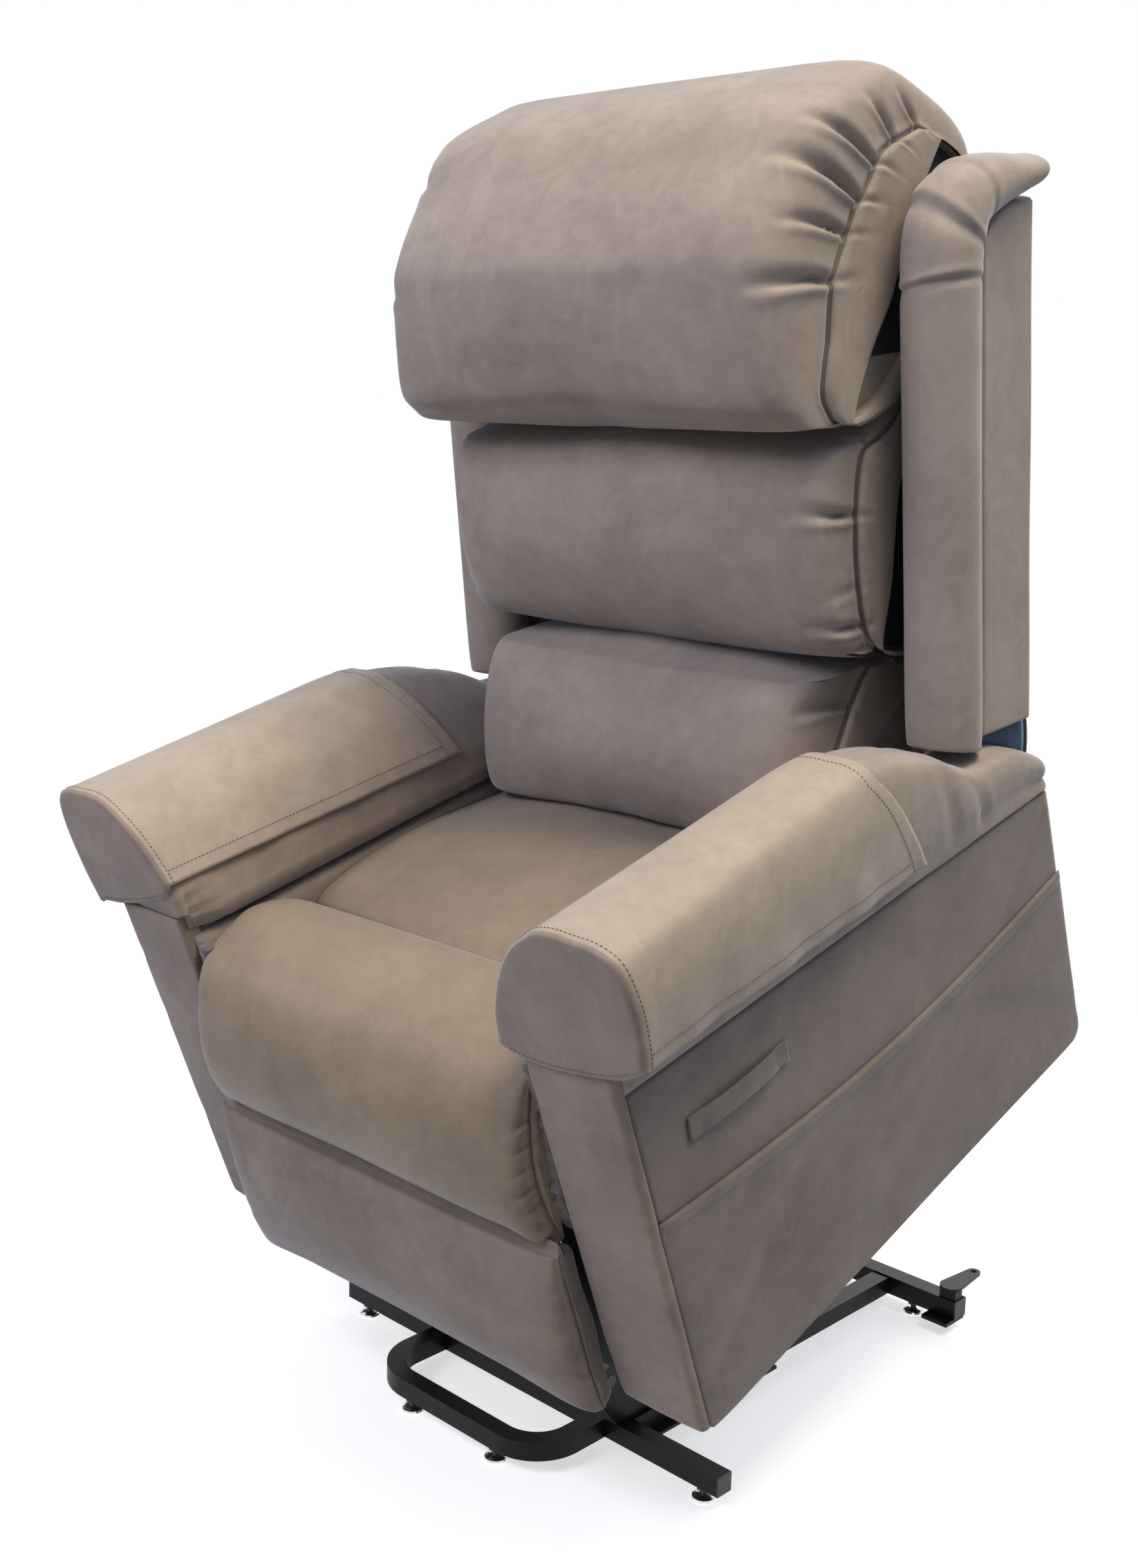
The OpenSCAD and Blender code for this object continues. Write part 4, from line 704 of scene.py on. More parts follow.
roll_outline = closed_curve([
    (SEAM_Y - 2, CUSHION_Z + 1), (SEAM_Y - 1, CUSHION_TOP - 26), (SEAM_Y - 6, CUSHION_TOP - 6),
    (SEAM_Y - 24, CUSHION_TOP + 14), (SEAM_Y - 68, CUSHION_TOP + 27), (54, CUSHION_TOP + 22),
    (18, CUSHION_TOP + 11), (-11, CUSHION_TOP - 7), (-33, CUSHION_TOP - 46), (-47, CUSHION_TOP - 89),
    (-50, CUSHION_TOP - 127), (-43, CUSHION_TOP - 155), (-31, CUSHION_Z - 66), (-17, CUSHION_Z - 63),
    (-8, CUSHION_Z - 44), (0, CUSHION_Z - 20), (14, CUSHION_Z + 1), (60, CUSHION_Z + 2)], 260)
roll_root, roll_ends = (60, CUSHION_Z + 20), (0.66, 0.93, 0.97)
roll_marks = side_marks(roll_outline, roll_root, roll_ends, 0.02, [
    ((-2, 352), (-32, 350), 42, 5, 5), ((-6, 328), (-42, 324), 34, 4, 4.5),
    ((-9, 306), (-46, 300), 36, 4, 5), ((-11, 284), (-48, 276), 46, 4.5, 6),
    ((-11, 262), (-48, 252), 42, 4, 5.5), ((-9, 244), (-42, 238), 40, 4, 6),
    ((-4, 230), (-34, 227), 42, 4, 5), ((60, 414), (40, 414), 60, 11, 2)], weak=0.5)
stuffed("front_roll_cover", roll_outline, roll_root, 264.5, roll_ends, on_body, "chassis",
        ["front_roll"], roll_marks, seed=13, inset=1.5, crown=0.02, cap=0.014, pressure=3,
        held_back=lambda r: ((r[..., 2] < CUSHION_Z + 20) & (r[..., 1] > -4)) | (r[..., 1] > SEAM_Y - 12),
        gusset=40.0, bulge=2.5, keep_x=268.0, ripple=1.4, tip=(224.0, 20.0, 42.0),
        cloth=seat_warm_light_suede)

# ---- Ruched bands and legrest guards ----
# Narrow bands of the cloth, darkened with painted shade and gathered on elastic, close the gap at each end of
# the front roll.
# Below them flat strips of dark cloth hang behind the gaps between the legrest and the arms.
SIDES = ((1, "left"), (-1, "right"))
# The ruched bands' cloth is a darker copy of the suede: painted shade in the narrow gaps beside the front
# roll and the legrest.
ruched_shade_suede = suede("ruched_suede_shaded", (0.17, 0.14, 0.115), (0.10, 0.083, 0.07))


def mirrored(points, side):
    """Points as they are on the sitter's left, where side is 1, or mirrored to the right."""
    return points * np.array([side, 1.0, 1.0])


band_heights, band_fronts = [207, 239, 266, 289, 311, 353, 400], [10, 2, 0, 4, 6, 11, 12]
for side, name in SIDES:
    rings = []
    for z in np.concatenate([[207, 207.5, 209, 212], np.arange(216, 398, 1.6), [398.5, 400]]):
        y0 = float(np.interp(z, band_heights, band_fronts)) + 2.0 * math.sin(z / 2.9) * (
            0.6 + 0.4 * math.sin(z / 13))
        out = 279.6 - 1.3 * (1 + math.sin(z / 2.9 + 1.2)) - 0.8 * math.sin(z / 7.7)
        pull = 4 * max(0.0, 1 - (z - 207) / 5) ** 2
        rings.append([(254, y0 + 8, z), (258, y0 + 2, z), (266, y0 + pull, z), (out - 3, y0 + 1 + pull, z),
                      (out - pull, y0 + 5, z), (out - pull, y0 + 14, z), (out - pull, y0 + 26, z),
                      (out - 4, y0 + 30, z), (258, y0 + 30, z), (254, y0 + 24, z)])
    made = loft("roll_side_band_" + name, on_body(mirrored(np.array(rings), side)), ruched_shade_suede)
    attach(made, "chassis")
    # The guards are in the near-black cloth, which paints the shade seen through the gaps.
    guard = np.array([[(235 + dx, 18 + dy, z) for dx, dy in ((0, 0), (47.5, 0), (47.5, 2.5), (0, 2.5))]
                      for z in (12, 120, 262)])
    made = loft("legrest_side_guard_" + name, on_body(mirrored(guard, side)), lining_and_shade_cloth)
    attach(made, "chassis")

# ---- Legrest pad ----
# A thin foam pad under the same cloth, flat at the back and pulled round the legrest board's edges.
# A narrow ruched band at each side, darkened with painted shade, covers the board's end.
PAD_FRONT, LEG_Z, LEG_H = -16.0, 17.0, 186.0  # the board's front, its foot and its height
legrest_outline = closed_curve([
    (PAD_FRONT, LEG_Z - 2), (PAD_FRONT, LEG_Z + LEG_H + 2), (PAD_FRONT - 10, LEG_Z + LEG_H + 3),
    (PAD_FRONT - 22, LEG_Z + LEG_H), (PAD_FRONT - 32, LEG_Z + 150), (PAD_FRONT - 37, LEG_Z + 90),
    (PAD_FRONT - 38, LEG_Z + 40), (PAD_FRONT - 33, LEG_Z + 8), (PAD_FRONT - 22, LEG_Z - 5),
    (PAD_FRONT - 8, LEG_Z - 6)], 160)
legrest_outline = np.clip(legrest_outline, (-1e4, LEG_Z - 7), (PAD_FRONT, 1e4))
pad_root, pad_ends = (PAD_FRONT, LEG_Z + LEG_H / 2), (0.16, 0.97, 0.97)
pad_marks = side_marks(legrest_outline, pad_root, pad_ends, 0.03, [
    ((-34, 170), (-46, 158), 70, 7, 2.4), ((-38, 120), (-52, 105), 60, 7, 2.0),
    ((-37, 50), (-50, 62), 70, 8, 2.6)])
stuffed("legrest_pad_cover", legrest_outline, pad_root, 277.0, pad_ends, on_body, "legrest_panel_body",
        ["legrest_pad"], pad_marks, seed=17, inset=0.6, crown=0.03, cap=0.008, pressure=2.0, bulge=2.0,
        held_back=lambda r: r[..., 1] > PAD_FRONT - 3, gusset=22.0, keep_x=279.8, ripple=1.0,
        tip=(10.0, 17.0, 120.0), cloth=front_shade_suede)
for side, name in SIDES:
    rings = []
    for z in np.concatenate([[12, 12.6, 14, 17], np.linspace(22, 196, 40), [200, 202, 203]]):
        pull = 3.5 * max(0.0, 1 - (z - 12) / 5) + 3.5 * max(0.0, 1 - (203 - z) / 4)
        back = -1.5 - 2.0 * math.sin(z / 23) * math.sin(z / 61) - pull
        front = PAD_FRONT - 6.0
        out = 278.6 - pull - 0.8 * math.sin(z / 17)
        z = z - 17 * max(0.0, 1 - (z - 10) / 40) ** 1.5
        half_way = (front + back) / 2
        rings.append([(out - 13, front, z), (out - 2, front, z), (out, front + 3, z),
                      (out + 0.4, half_way, z), (out - 0.4, back - 5, z), (out - 2.6, back - 1, z),
                      (out - 6, back, z), (out - 10, back, z), (out - 13, back - 2, z),
                      (out - 14, half_way, z)])
    made = loft("legrest_side_band_" + name, on_body(mirrored(np.array(rings), side)), ruched_shade_suede)
    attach(made, "legrest_panel_body")

# ---- Arm rolls ----
# Foam rolls along the arm tops, in the same cloth, tucked in to a seam above the side panels. The
# cloth is gathered at the front, and folds where the sleeve leaves it bare.
SIDE_X, ROLL_IN, DEPTH = 396.0, 258.0, 744.0  # the side panel's face, the roll's inner face and its length


def seam_line(y):
    """Height of the seam below the arm roll at depth y."""
    return 416.0 - 94.0 * y / 1000


def arm_top(y):
    """Height of the arm's top at depth y: a straight slope that meets an arc round the back's pivot."""
    arc = PIVOT[1] + np.sqrt(205.0 ** 2 - np.maximum(0, y - PIVOT[0]) ** 2)
    line = 585.0 - 77.0 * y / 1000
    t = np.maximum(0, y - 330.0) / (PIVOT[0] - 330.0)
    return np.where(y >= PIVOT[0], arc, line + (arc - line) * np.minimum(t, 1) ** 2.7)


def roll_out(y):
    """How far out the arm roll reaches at depth y."""
    return SIDE_X + 4 + 49.0 * (1 - y / DEPTH)


def open_curve(points, count):
    """count points, evenly spaced, along the smooth open curve through the points."""
    p = np.asarray(points, float)
    p = np.vstack([2 * p[0] - p[1], p, 2 * p[-1] - p[-2]])
    q = smooth_between(p[:-3, None], p[1:-2, None], p[2:-1, None], p[3:, None], CURVE_STEPS)
    return evenly(np.vstack([q.reshape(-1, p.shape[1]), p[-2:-1]]), count)


def roll_over(y, outer_z, inner_z, count):
    """The arm roll's section at depth y from its outer hem over the top to its inner hem."""
    s = seam_line(y)
    h, w = float(arm_top(y)) - s, roll_out(y) - ROLL_IN
    to, ti = (outer_z - s) / h, (inner_z - s) / h

    def inner(t):
        return (0.5 * max(0.0, t - 0.15) ** 1.6, t)

    def outer(t):
        return (1 - 0.18 * max(0.0, 0.55 - t), t)

    q = open_curve([outer(to), outer((to + 0.64) / 2), (1, 0.7), (0.955, 0.915), (0.84, 0.99), (0.7, 1),
                    (0.54, 1), (0.414, 0.947), inner(0.76), inner((ti + 0.68) / 2), inner(ti)], count)
    return np.stack([ROLL_IN + w * q[:, 0], s + h * q[:, 1]], -1)


roll_y = np.concatenate([[0, 2, 6, 12.7, 13.1, 16, 20, 25], np.arange(30, 720, 9.0),
                         [722, 730, 736, 741, DEPTH]])
for side, name in SIDES:
    rings = []
    for y in roll_y:
        s, h = seam_line(y), float(arm_top(y)) - seam_line(y)
        over = roll_over(y, s + 0.3 * h, s + 0.16 * h, 64)
        under = open_curve([over[-1], (ROLL_IN + 7, s + 0.06 * h), (ROLL_IN + 26, s)], 7)[1:-1]
        m = (ROLL_IN + roll_out(y)) / 2
        tuck_x = SIDE_X + 0.24 * (roll_out(y) - SIDE_X)
        side_in = open_curve([(SIDE_X - 11, s), (SIDE_X + 0.5, s + 1.5), (tuck_x, s + 0.12 * h), over[0]],
                             9)[:-1]
        ring = np.vstack([over, under, [(ROLL_IN + 26, s), (m, s)], side_in])
        centre = np.array([m, s + 0.5 * h])
        near = min(y, DEPTH - y)
        shrink = 1 - 0.07 * max(0.0, 1 - near / 14.0) ** 2
        ring = centre + (ring - centre) * np.array([shrink, shrink])
        ring[:, 1] = np.maximum(ring[:, 1], s)
        rings.append(np.column_stack([ring[:, 0], np.full(len(ring), y), ring[:, 1]]))
    rings = np.array(rings)
    n = outward(rings)
    y, z = rings[..., 1], rings[..., 2]
    bare = 1 / (1 + np.exp(-(y - 470) / 12.0)) * (z > seam_line(y) + 8)
    folds = np.zeros(y.shape)
    for place_y, wide, deep, lean in ((520, 9, 2.4, 0.25), (560, 8, 3.0, 0.4), (590, 7, 2.2, 0.15),
                                      (640, 12, 1.6, -0.2)):
        off = (y - place_y - lean * (500 - z)) / wide
        folds += deep * (-np.exp(-off ** 2) + 0.5 * np.exp(-((off - 1.6) / 1.1) ** 2)) * (
            0.4 + 0.6 * np.clip((rings[..., 0] - 300) / 80, 0, 1))
    top = np.clip((z - seam_line(y)) / 30, 0, 1)
    tuck = np.clip((y - 13) / 46, 0, 1)
    tuck = (1 - tuck * tuck * (3 - 2 * tuck)) * np.clip((476 - z) / 46, 0, 1)
    gathers = sum(deep * np.exp(-((z - z0 - slope * (y - 13)) / wide) ** 2) for z0, slope, wide, deep in (
        (434, -0.42, 3.4, 4.0), (448, -0.16, 3.6, 4.5), (463, 0.12, 3.8, 3.5)))
    gathers = gathers * np.clip(1 - (y - 13) / 62, 0, 1) * (rings[..., 0] < 300) * (y > 12.9)
    shift = (folds * bare + ripples(rings, 21, 90.0, 1.0) * 0.8 - 1.2) * top - gathers
    rings = rings + n * shift[..., None]
    x = rings[..., 0]
    x = np.where(x > SIDE_X, SIDE_X + (x - SIDE_X) * (1 - 0.85 * tuck), np.where(x < 292, x + 13 * tuck, x))
    rings[..., 0] = x
    rings[..., 2] = np.where(y < 12.9, np.maximum(rings[..., 2], 446 + 0.03 * (x - 258)), rings[..., 2])
    roll_piece = loft("arm_roll_cover_" + name, on_body(mirrored(rings, side)), taupe_suede)
    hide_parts("arm_roll_" + name)
    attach(roll_piece, "chassis")

# ---- Arm sleeves ----
# Loose covers cut like a cap: a long panel over the roll and a D-shaped front, joined by a seam
# with a row of stitches beside it. The side flaps hang free to their hems.
SLEEVE_T, SLEEVE_GAP = 3.5, 2.6       # the sleeve's thickness and how loosely it lies on the roll
SLEEVE_DEPTH, FLAP = 412.0, 66.0      # its length along the arm top, and how much longer its flaps are
# A lighter copy of the cloth for the arm sleeves: painted light on their upper faces.
sleeve_lit_suede = suede("taupe_suede_sleeve_lit", (0.41, 0.34, 0.265), (0.297, 0.244, 0.197), 1.2)
thread = two_tone("thread", "ShaderNodeTexWave", 900, (0.10, 0.083, 0.07), (0.17, 0.14, 0.118), 0.7)


def stitches(name, line, normals, body, pitch=5.2, length=3.4, wide=0.55, lift=0.35):
    """A row of thread stitches laid along a line on cloth; line and normals in mm and in place."""
    run = length_along(line)

    def place(at, values):
        return np.array([np.interp(at, run, values[:, k]) for k in range(3)])

    points, faces = [], []
    for start in np.arange(1.5, run[-1] - length, pitch):
        base = len(points)
        for at, half in ((start, 0.5), (start + 0.3 * length, 1.0), (start + 0.7 * length, 1.0),
                         (start + length, 0.5)):
            p, n = place(at, line), place(at, normals)
            n /= np.linalg.norm(n)
            t = place(min(at + 0.5, run[-1]), line) - place(max(at - 0.5, 0), line)
            t = t / np.linalg.norm(t)
            b = np.cross(t, n)
            for a in range(6):
                c, s = math.cos(a * math.pi / 3), math.sin(a * math.pi / 3)
                points.append(p + n * (lift * half + wide * half * s * 0.8) + b * wide * half * c)
        for k in range(3):
            for a in range(6):
                faces.append((base + 6 * k + a, base + 6 * k + (a + 1) % 6,
                              base + 6 * k + 6 + (a + 1) % 6, base + 6 * k + 6 + a))
        faces.append(tuple(base + a for a in range(5, -1, -1)))
        faces.append(tuple(base + 18 + a for a in range(6)))
    made = piece(name, np.array(points) / 1000, faces, thread)
    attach(made, body)
    return made


def sleeve_point_rows(hems, outside, rows, columns):
    """The sleeve's skin as rows from front to back, each from the outer hem to the inner hem."""
    out = []
    for f in rows:
        across = np.linspace(0, 1, columns)
        flap = np.maximum(0, np.maximum(1 - 3 * across, 0.45 * (3 * across - 2))) ** 0.85
        y = f * (SLEEVE_DEPTH + FLAP * flap) - 0.3
        outer_z = hems[0] - (hems[0] - hems[1]) * f
        inner_z = hems[2] - (hems[2] - hems[3]) * f
        points = []
        for k, yk in enumerate(y):
            over = roll_over(yk, outer_z, inner_z, columns)
            c = np.array([(ROLL_IN + roll_out(yk)) / 2, seam_line(yk) + 60])
            d = over[k] - c
            q = over[k] + outside * d / np.linalg.norm(d)
            points.append((q[0], yk, q[1]))
        out.append(points)
    return np.array(out)


def open_normals(grid):
    """Unit normals of an open grid of points."""
    n = np.cross(np.gradient(grid, axis=0), np.gradient(grid, axis=1))
    return n / np.maximum(np.linalg.norm(n, axis=-1, keepdims=True), 1e-12)


def shell_faces(rows, columns):
    """Faces of a grid of points, of a second grid behind it and of the strip that joins their edges."""
    size = rows * columns
    faces = grid_faces(rows, columns, wrap=False)
    faces += [f[::-1] for f in grid_faces(rows, columns, wrap=False, start=size)]
    loop = ([j for j in range(columns)] + [i * columns + columns - 1 for i in range(1, rows)]
            + [(rows - 1) * columns + j for j in range(columns - 2, -1, -1)]
            + [i * columns for i in range(rows - 2, 0, -1)])
    return faces + [(b, a, size + a, size + b) for a, b in zip(loop, loop[1:] + loop[:1])]


def cloth_shell(name, outer, thickness, material):
    """A sheet with a given outer face and thickness, closed round its edge."""
    n = open_normals(outer)
    if (n * (outer - outer.reshape(-1, 3).mean(0) + 1e-9)).sum() < 0:
        n = -n
    inner = outer - n * thickness
    points = np.vstack([outer.reshape(-1, 3), inner.reshape(-1, 3)]) / 1000
    return piece(name, points, shell_faces(*outer.shape[:2]), material), n


def area_of(grid):
    """Area of a grid of points, by its triangles."""
    a, b, c, d = grid[:-1, :-1], grid[1:, :-1], grid[1:, 1:], grid[:-1, 1:]

    def triangles(p, q, r):
        return np.linalg.norm(np.cross(q - p, r - p), axis=-1).sum() / 2

    return triangles(a, b, c) + triangles(a, c, d)


sleeve_rows = np.concatenate([[0, 0.004, 0.01, 0.018, 0.028], np.linspace(0.04, 0.97, 60), [0.98, 0.99, 1.0]])
# heights of the outer hem at the front and rear, then of the inner hem
hem_heights = {"left": (467, 400, 440, 408), "right": (434, 386, 491, 437)}
front_hems = {"left": [(262, 435.5), (290, 430.5), (323, 430.5), (366, 436.5), (409, 446), (434, 458)],
              "right": [(276, 474), (330, 455), (390, 440), (430, 434.5)]}
MIDDLE = 45  # the sleeve's middle column, on top of the arm
for side, name in SIDES:
    grid = sleeve_point_rows(hem_heights[name], SLEEVE_GAP + SLEEVE_T, sleeve_rows, 90)
    n = open_normals(grid)
    if n[len(n) // 2, MIDDLE, 2] < 0:
        n = -n
    y = grid[..., 1]
    front = np.exp(-((y + 0.3) / 5.0) ** 2)
    beside = np.exp(-((y - 9) / 7.0) ** 2)
    columns = np.linspace(0, 1, grid.shape[1])[None, :]
    rows = sleeve_rows[:, None]
    hang = np.maximum(np.clip(1 - columns * 5, 0, 1), np.clip((columns - 0.8) * 5, 0, 1))
    wave = 1.6 * hang * np.sin(rows * 19 + columns * 3) + 0.8 * hang * np.sin(rows * 43 + 1.0)
    back_edge = np.exp(-((1 - rows) / 0.02) ** 2)
    shift = (-2.6 * np.exp(-((y + 0.3) / 2.4) ** 2) - 0.6 * front + 0.7 * beside
             + wave * np.clip(rows * 8, 0, 1) + ripples(grid, 25, 80.0, 0.7) * 0.8 - 0.5 * back_edge)
    grid = grid + n * shift[..., None]
    grid = mirrored(grid, side)
    placed = on_body(grid) * 1000
    skin, normals = cloth_shell("arm_sleeve_cover_" + name, placed, 1.6, sleeve_lit_suede)
    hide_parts("arm_sleeve_" + name)
    # the D-shaped front, slightly crowned
    rim = np.array(mirrored(sleeve_point_rows(hem_heights[name], SLEEVE_GAP + SLEEVE_T, [0.0], 90)[0], side))
    rim[:, 1] = -1.0
    hem = [rim[-1]] + [np.array([side * x, -1.0, z]) for x, z in front_hems[name]] + [rim[0]]
    hem = open_curve(hem, 34)
    rim = np.vstack([rim, hem[1:-1]])
    centre = rim.mean(0)
    front = []
    for k in np.linspace(1, 0.04, 22):
        ring = centre + (rim - centre) * k
        ring[:, 1] = -0.9 - 3.1 * (1 - k ** 9) ** 0.5 + 2.2 * np.exp(-((1 - k) / 0.018) ** 2)
        front.append(ring)
    front = np.array(front)
    front[..., 1] += 0.5 * np.sin(front[..., 0] / 17.0) * np.sin(front[..., 2] / 23.0)
    points = np.vstack([front.reshape(-1, 3), front[-1].mean(0)[None]])
    count, round_it = front.shape[:2]
    last = (count - 1) * round_it
    faces = grid_faces(count, round_it) + [(last + j, last + (j + 1) % round_it, count * round_it)
                                           for j in range(round_it)]
    dface = piece("arm_sleeve_front_" + name, on_body(points), faces, front_shade_suede)
    thick = dface.modifiers.new("thickness", "SOLIDIFY")
    thick.thickness = 0.0015
    thick.offset = -1 if side > 0 else 1
    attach(dface, "chassis")
    # stitching beside the front seam and along the back hem
    row = int(np.argmin(np.abs(grid[:, MIDDLE, 1] - 8.5)))
    band = hem[3:-3] + np.array([0, -2.6, 8.5])
    bands = np.tile([0.0, -math.cos(TILT), -math.sin(TILT)], (len(band), 1))
    st = [stitches("sleeve_front_stitches_" + name, placed[row], normals[row], "chassis"),
          stitches("sleeve_hem_stitches_" + name, on_body(band) * 1000, bands, "chassis"),
          stitches("sleeve_back_stitches_" + name, placed[-5], normals[-5], "chassis"),
          stitches("sleeve_outer_stitches_" + name, placed[3:-4, 4], normals[3:-4, 4], "chassis"),
          stitches("sleeve_inner_stitches_" + name, placed[3:-4, -5], normals[3:-4, -5], "chassis")]
    area = area_of(placed / 1000)
    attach(skin, "chassis")

# ---- Arm panels, pockets and strap ----
# Thin foam and cloth on boards: the side panels, the pocket panels with their sagging hems,
# the fronts that widen towards the top, the pads and dark linings inside the arms, and a strap sewn
# at both ends to the sitter's left side for a handset.
# Two darker copies of the cloth, both painted shade: the first covers the pockets, the strap, the back skirt
# and the rear cover panel, the second the side panels below the arm rolls.
dark_suede = suede("taupe_suede_shaded", (0.196, 0.160, 0.143), (0.133, 0.109, 0.100), 1.2)
side_shaded_suede = suede("taupe_suede_side_shaded", (0.218, 0.178, 0.153), (0.152, 0.125, 0.111), 1.1)


def upholstered(name, low, high, inner_x, outer_x, material, place, body, replaced, seed=1,
                edge=9.0, columns=110, rows=46, folds=None, side=1, axis=0):
    """A padded panel between two curves in a plane: low and high are arrays of (y, z) points, or of
    (x, z) points where axis is 1. inner_x and outer_x are its flat back and its face across that
    plane; the face rounds down at the edge."""
    low, high = open_curve(low, columns), open_curve(high, columns)
    b = np.concatenate([[0], 0.5 - 0.5 * np.cos(np.linspace(0.02, math.pi - 0.02, rows)), [1]])
    plane = low[None] + (high - low)[None] * b[:, None, None]
    length = np.linalg.norm(np.diff(plane[rows // 2], axis=0), axis=1).sum()
    tall = np.linalg.norm(high - low, axis=1).mean()
    a = np.linspace(0, 1, columns)[None, :] * length
    c = b[:, None] * tall
    rim = np.minimum(np.minimum(a, length - a), np.minimum(c, tall - c))
    round_over = np.sqrt(np.clip(1 - (1 - np.clip(rim / edge, 0, 1)) ** 2, 0, 1))
    thick = outer_x - inner_x
    x = inner_x + thick * (0.12 + 0.88 * round_over)
    rng = np.random.default_rng(seed)
    puff = sum(np.sin(plane[..., 0] / rng.uniform(50, 120) + plane[..., 1] / rng.uniform(40, 100)
                      + rng.uniform(0, 6)) for _ in range(4)) * 0.35
    x = x + (puff * 0.8 - 0.9) * round_over * np.sign(thick)
    if folds is not None:
        x = x + folds(plane[..., 0], plane[..., 1]) * round_over * np.sign(thick)
    face = np.stack([x, plane[..., 0], plane[..., 1]], -1)
    back = np.stack([np.full(x.shape, inner_x), plane[..., 0], plane[..., 1]], -1)
    if axis == 1:
        face, back = face[..., [1, 0, 2]], back[..., [1, 0, 2]]
    points = mirrored(np.vstack([face.reshape(-1, 3), back.reshape(-1, 3)]), side)
    made = piece(name, place(points), shell_faces(*face.shape[:2]), material)
    bm = bmesh.new()
    bm.from_mesh(made.data)
    bmesh.ops.recalc_face_normals(bm, faces=bm.faces)
    bm.to_mesh(made.data)
    bm.free()
    if replaced:
        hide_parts(*replaced)
    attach(made, body)
    return made


def drag_lines(y, z, rows):
    """Shallow folds of pulled cloth. Each row is a place in depth and height, a slope, a width, how
    deep it is and how far it runs."""
    total = 0
    for y0, z0, slope, wide, deep, run in rows:
        off = (z - z0 - slope * (y - y0)) / wide
        total = total - deep * np.exp(-off ** 2) * np.exp(-((y - y0) / run) ** 2)
    return total


def side_folds(y, z):
    """Drag lines below the roll seam and above the pocket."""
    return drag_lines(y, z, ((60, 372, 0.35, 7, 1.1, 120), (300, 300, -0.2, 16, 0.9, 120),
                             (500, 290, 0.5, 14, 1.0, 120), (640, 250, 0.9, 12, 1.2, 120)))


def pocket_hem(y):
    """Height of the pocket's hem at depth y, sagging between its ends."""
    return 267 - 40 * y / 1000 - 27 * np.sin(math.pi * y / DEPTH)


def pocket_folds(y, z):
    """Drag lines over the pocket, the roll and stitch line of its hem, and the pull at both ends."""
    total = drag_lines(y, z, ((120, 120, 0.7, 18, 1.6, 160), (380, 80, 0.5, 26, 1.6, 200),
                              (600, 130, -0.6, 20, 1.5, 170), (250, 190, 0.1, 14, 1.0, 160),
                              (90, 235, -0.25, 9, 1.4, 70), (480, 175, 0.35, 16, 1.5, 120)))
    below = pocket_hem(y) - z
    total = total + 1.6 * np.exp(-((below - 6) / 5.0) ** 2) - 0.7 * np.exp(-((below - 15) / 2.0) ** 2)
    return total - 4.2 * np.exp(-(y - 12.9) / 11) - 3.0 * np.exp(-(DEPTH - y) / 9)


for side, name in SIDES:
    low = [(12.9, 4), (14.5, 1.8), (18, 1), (32, 1), (200, 1), (400, 1), (600, 1), (712, 1), (730, 4),
           (741, 13), (743.5, 24)]
    high = [(y, seam_line(y) - 0.6) for y in np.linspace(12.9, 743.5, 12)]
    upholstered("arm_side_cover_" + name, low, high, SIDE_X - 10.8, SIDE_X - 0.2, side_shaded_suede, on_body,
                "chassis", ["arm_side_panels"], 31, edge=3.0, folds=side_folds, side=side,
                columns=150)
    low = [(12.9, 5), (14.5, 2.6), (18, 1.8), (32, 1.8), (200, 2.4), (400, 3), (600, 3), (712, 3), (729, 6),
           (739, 14), (742, 25)]
    ys = np.linspace(12.9, 742, 16)
    upholstered("side_pocket_cover_" + name, low, [(y, float(pocket_hem(y))) for y in ys],
                SIDE_X + 0.2, SIDE_X + 5.4, dark_suede, on_body, "chassis", ["side_pockets"],
                33, edge=3.0, folds=pocket_folds, side=side, columns=170, rows=90)
    rings = []
    for z in np.concatenate([[0, 0.7, 2, 4, 7], np.linspace(11, 438, 60), [442, 443]]):
        r, r_in = 8.0, 3.5  # how round its outer and inner edges are
        pull = 6 * (1 - math.sqrt(1 - max(0.0, 1 - z / 7.0) ** 2)) + (3 if z > 442.5 else 0)
        x_in = float(np.interp(z, [0, 20, 60, 250, 406, 443], [289, 285, 281, 280.6, 280.6, 281])) + pull
        x_out = SIDE_X - 0.2 - pull
        face, back = 1.8 + pull, 12.6
        x = np.linspace(x_in + r_in, x_out - r, 26)
        t = (x - x[0]) / (x[-1] - x[0])
        full = math.sin(math.pi * min(1, z / 420)) ** 0.3
        front = [(a, face - 2.2 * math.sin(math.pi * b) ** 0.8 * full) for a, b in zip(x, t)]
        turn = np.linspace(0, math.pi / 2, 8)[1:]
        outer = [(x_out - r + r * math.sin(a), face + r * (1 - math.cos(a))) for a in turn]
        outer.append((x_out + 0.2, back))
        inner = [(x_in, 26.0)] + [(x_in + r_in - r_in * math.sin(a), face + r_in * (1 - math.cos(a)))
                                  for a in turn[::-1]]
        ring = front + outer + [(x_out - 12, back + 0.2), (x_in + 12, back + 0.2), (x_in + 7, 26.0)] + inner
        rings.append([(a, b, z) for a, b in ring])
    rings = np.array(rings)
    n = outward(rings)
    calm = np.clip((rings[..., 2] - 20) / 60, 0, 1)
    drag = sum(deep * np.exp(-((rings[..., 2] - z0 - slope * (rings[..., 0] - 340)) / wide) ** 2)
               for z0, slope, wide, deep in ((395, -0.5, 10, 0.9), (330, -0.9, 14, 0.7), (90, 0.8, 16, 0.8),
                                             (30, -0.5, 9, 0.8)))
    rings = rings + n * (ripples(rings, 36, 80.0, 0.6) * calm - drag * (rings[..., 1] < 4))[..., None]
    made = loft("arm_front_cover_" + name, on_body(mirrored(rings, side)), front_shade_suede)
    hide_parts("arm_front_panels")
    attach(made, "chassis")

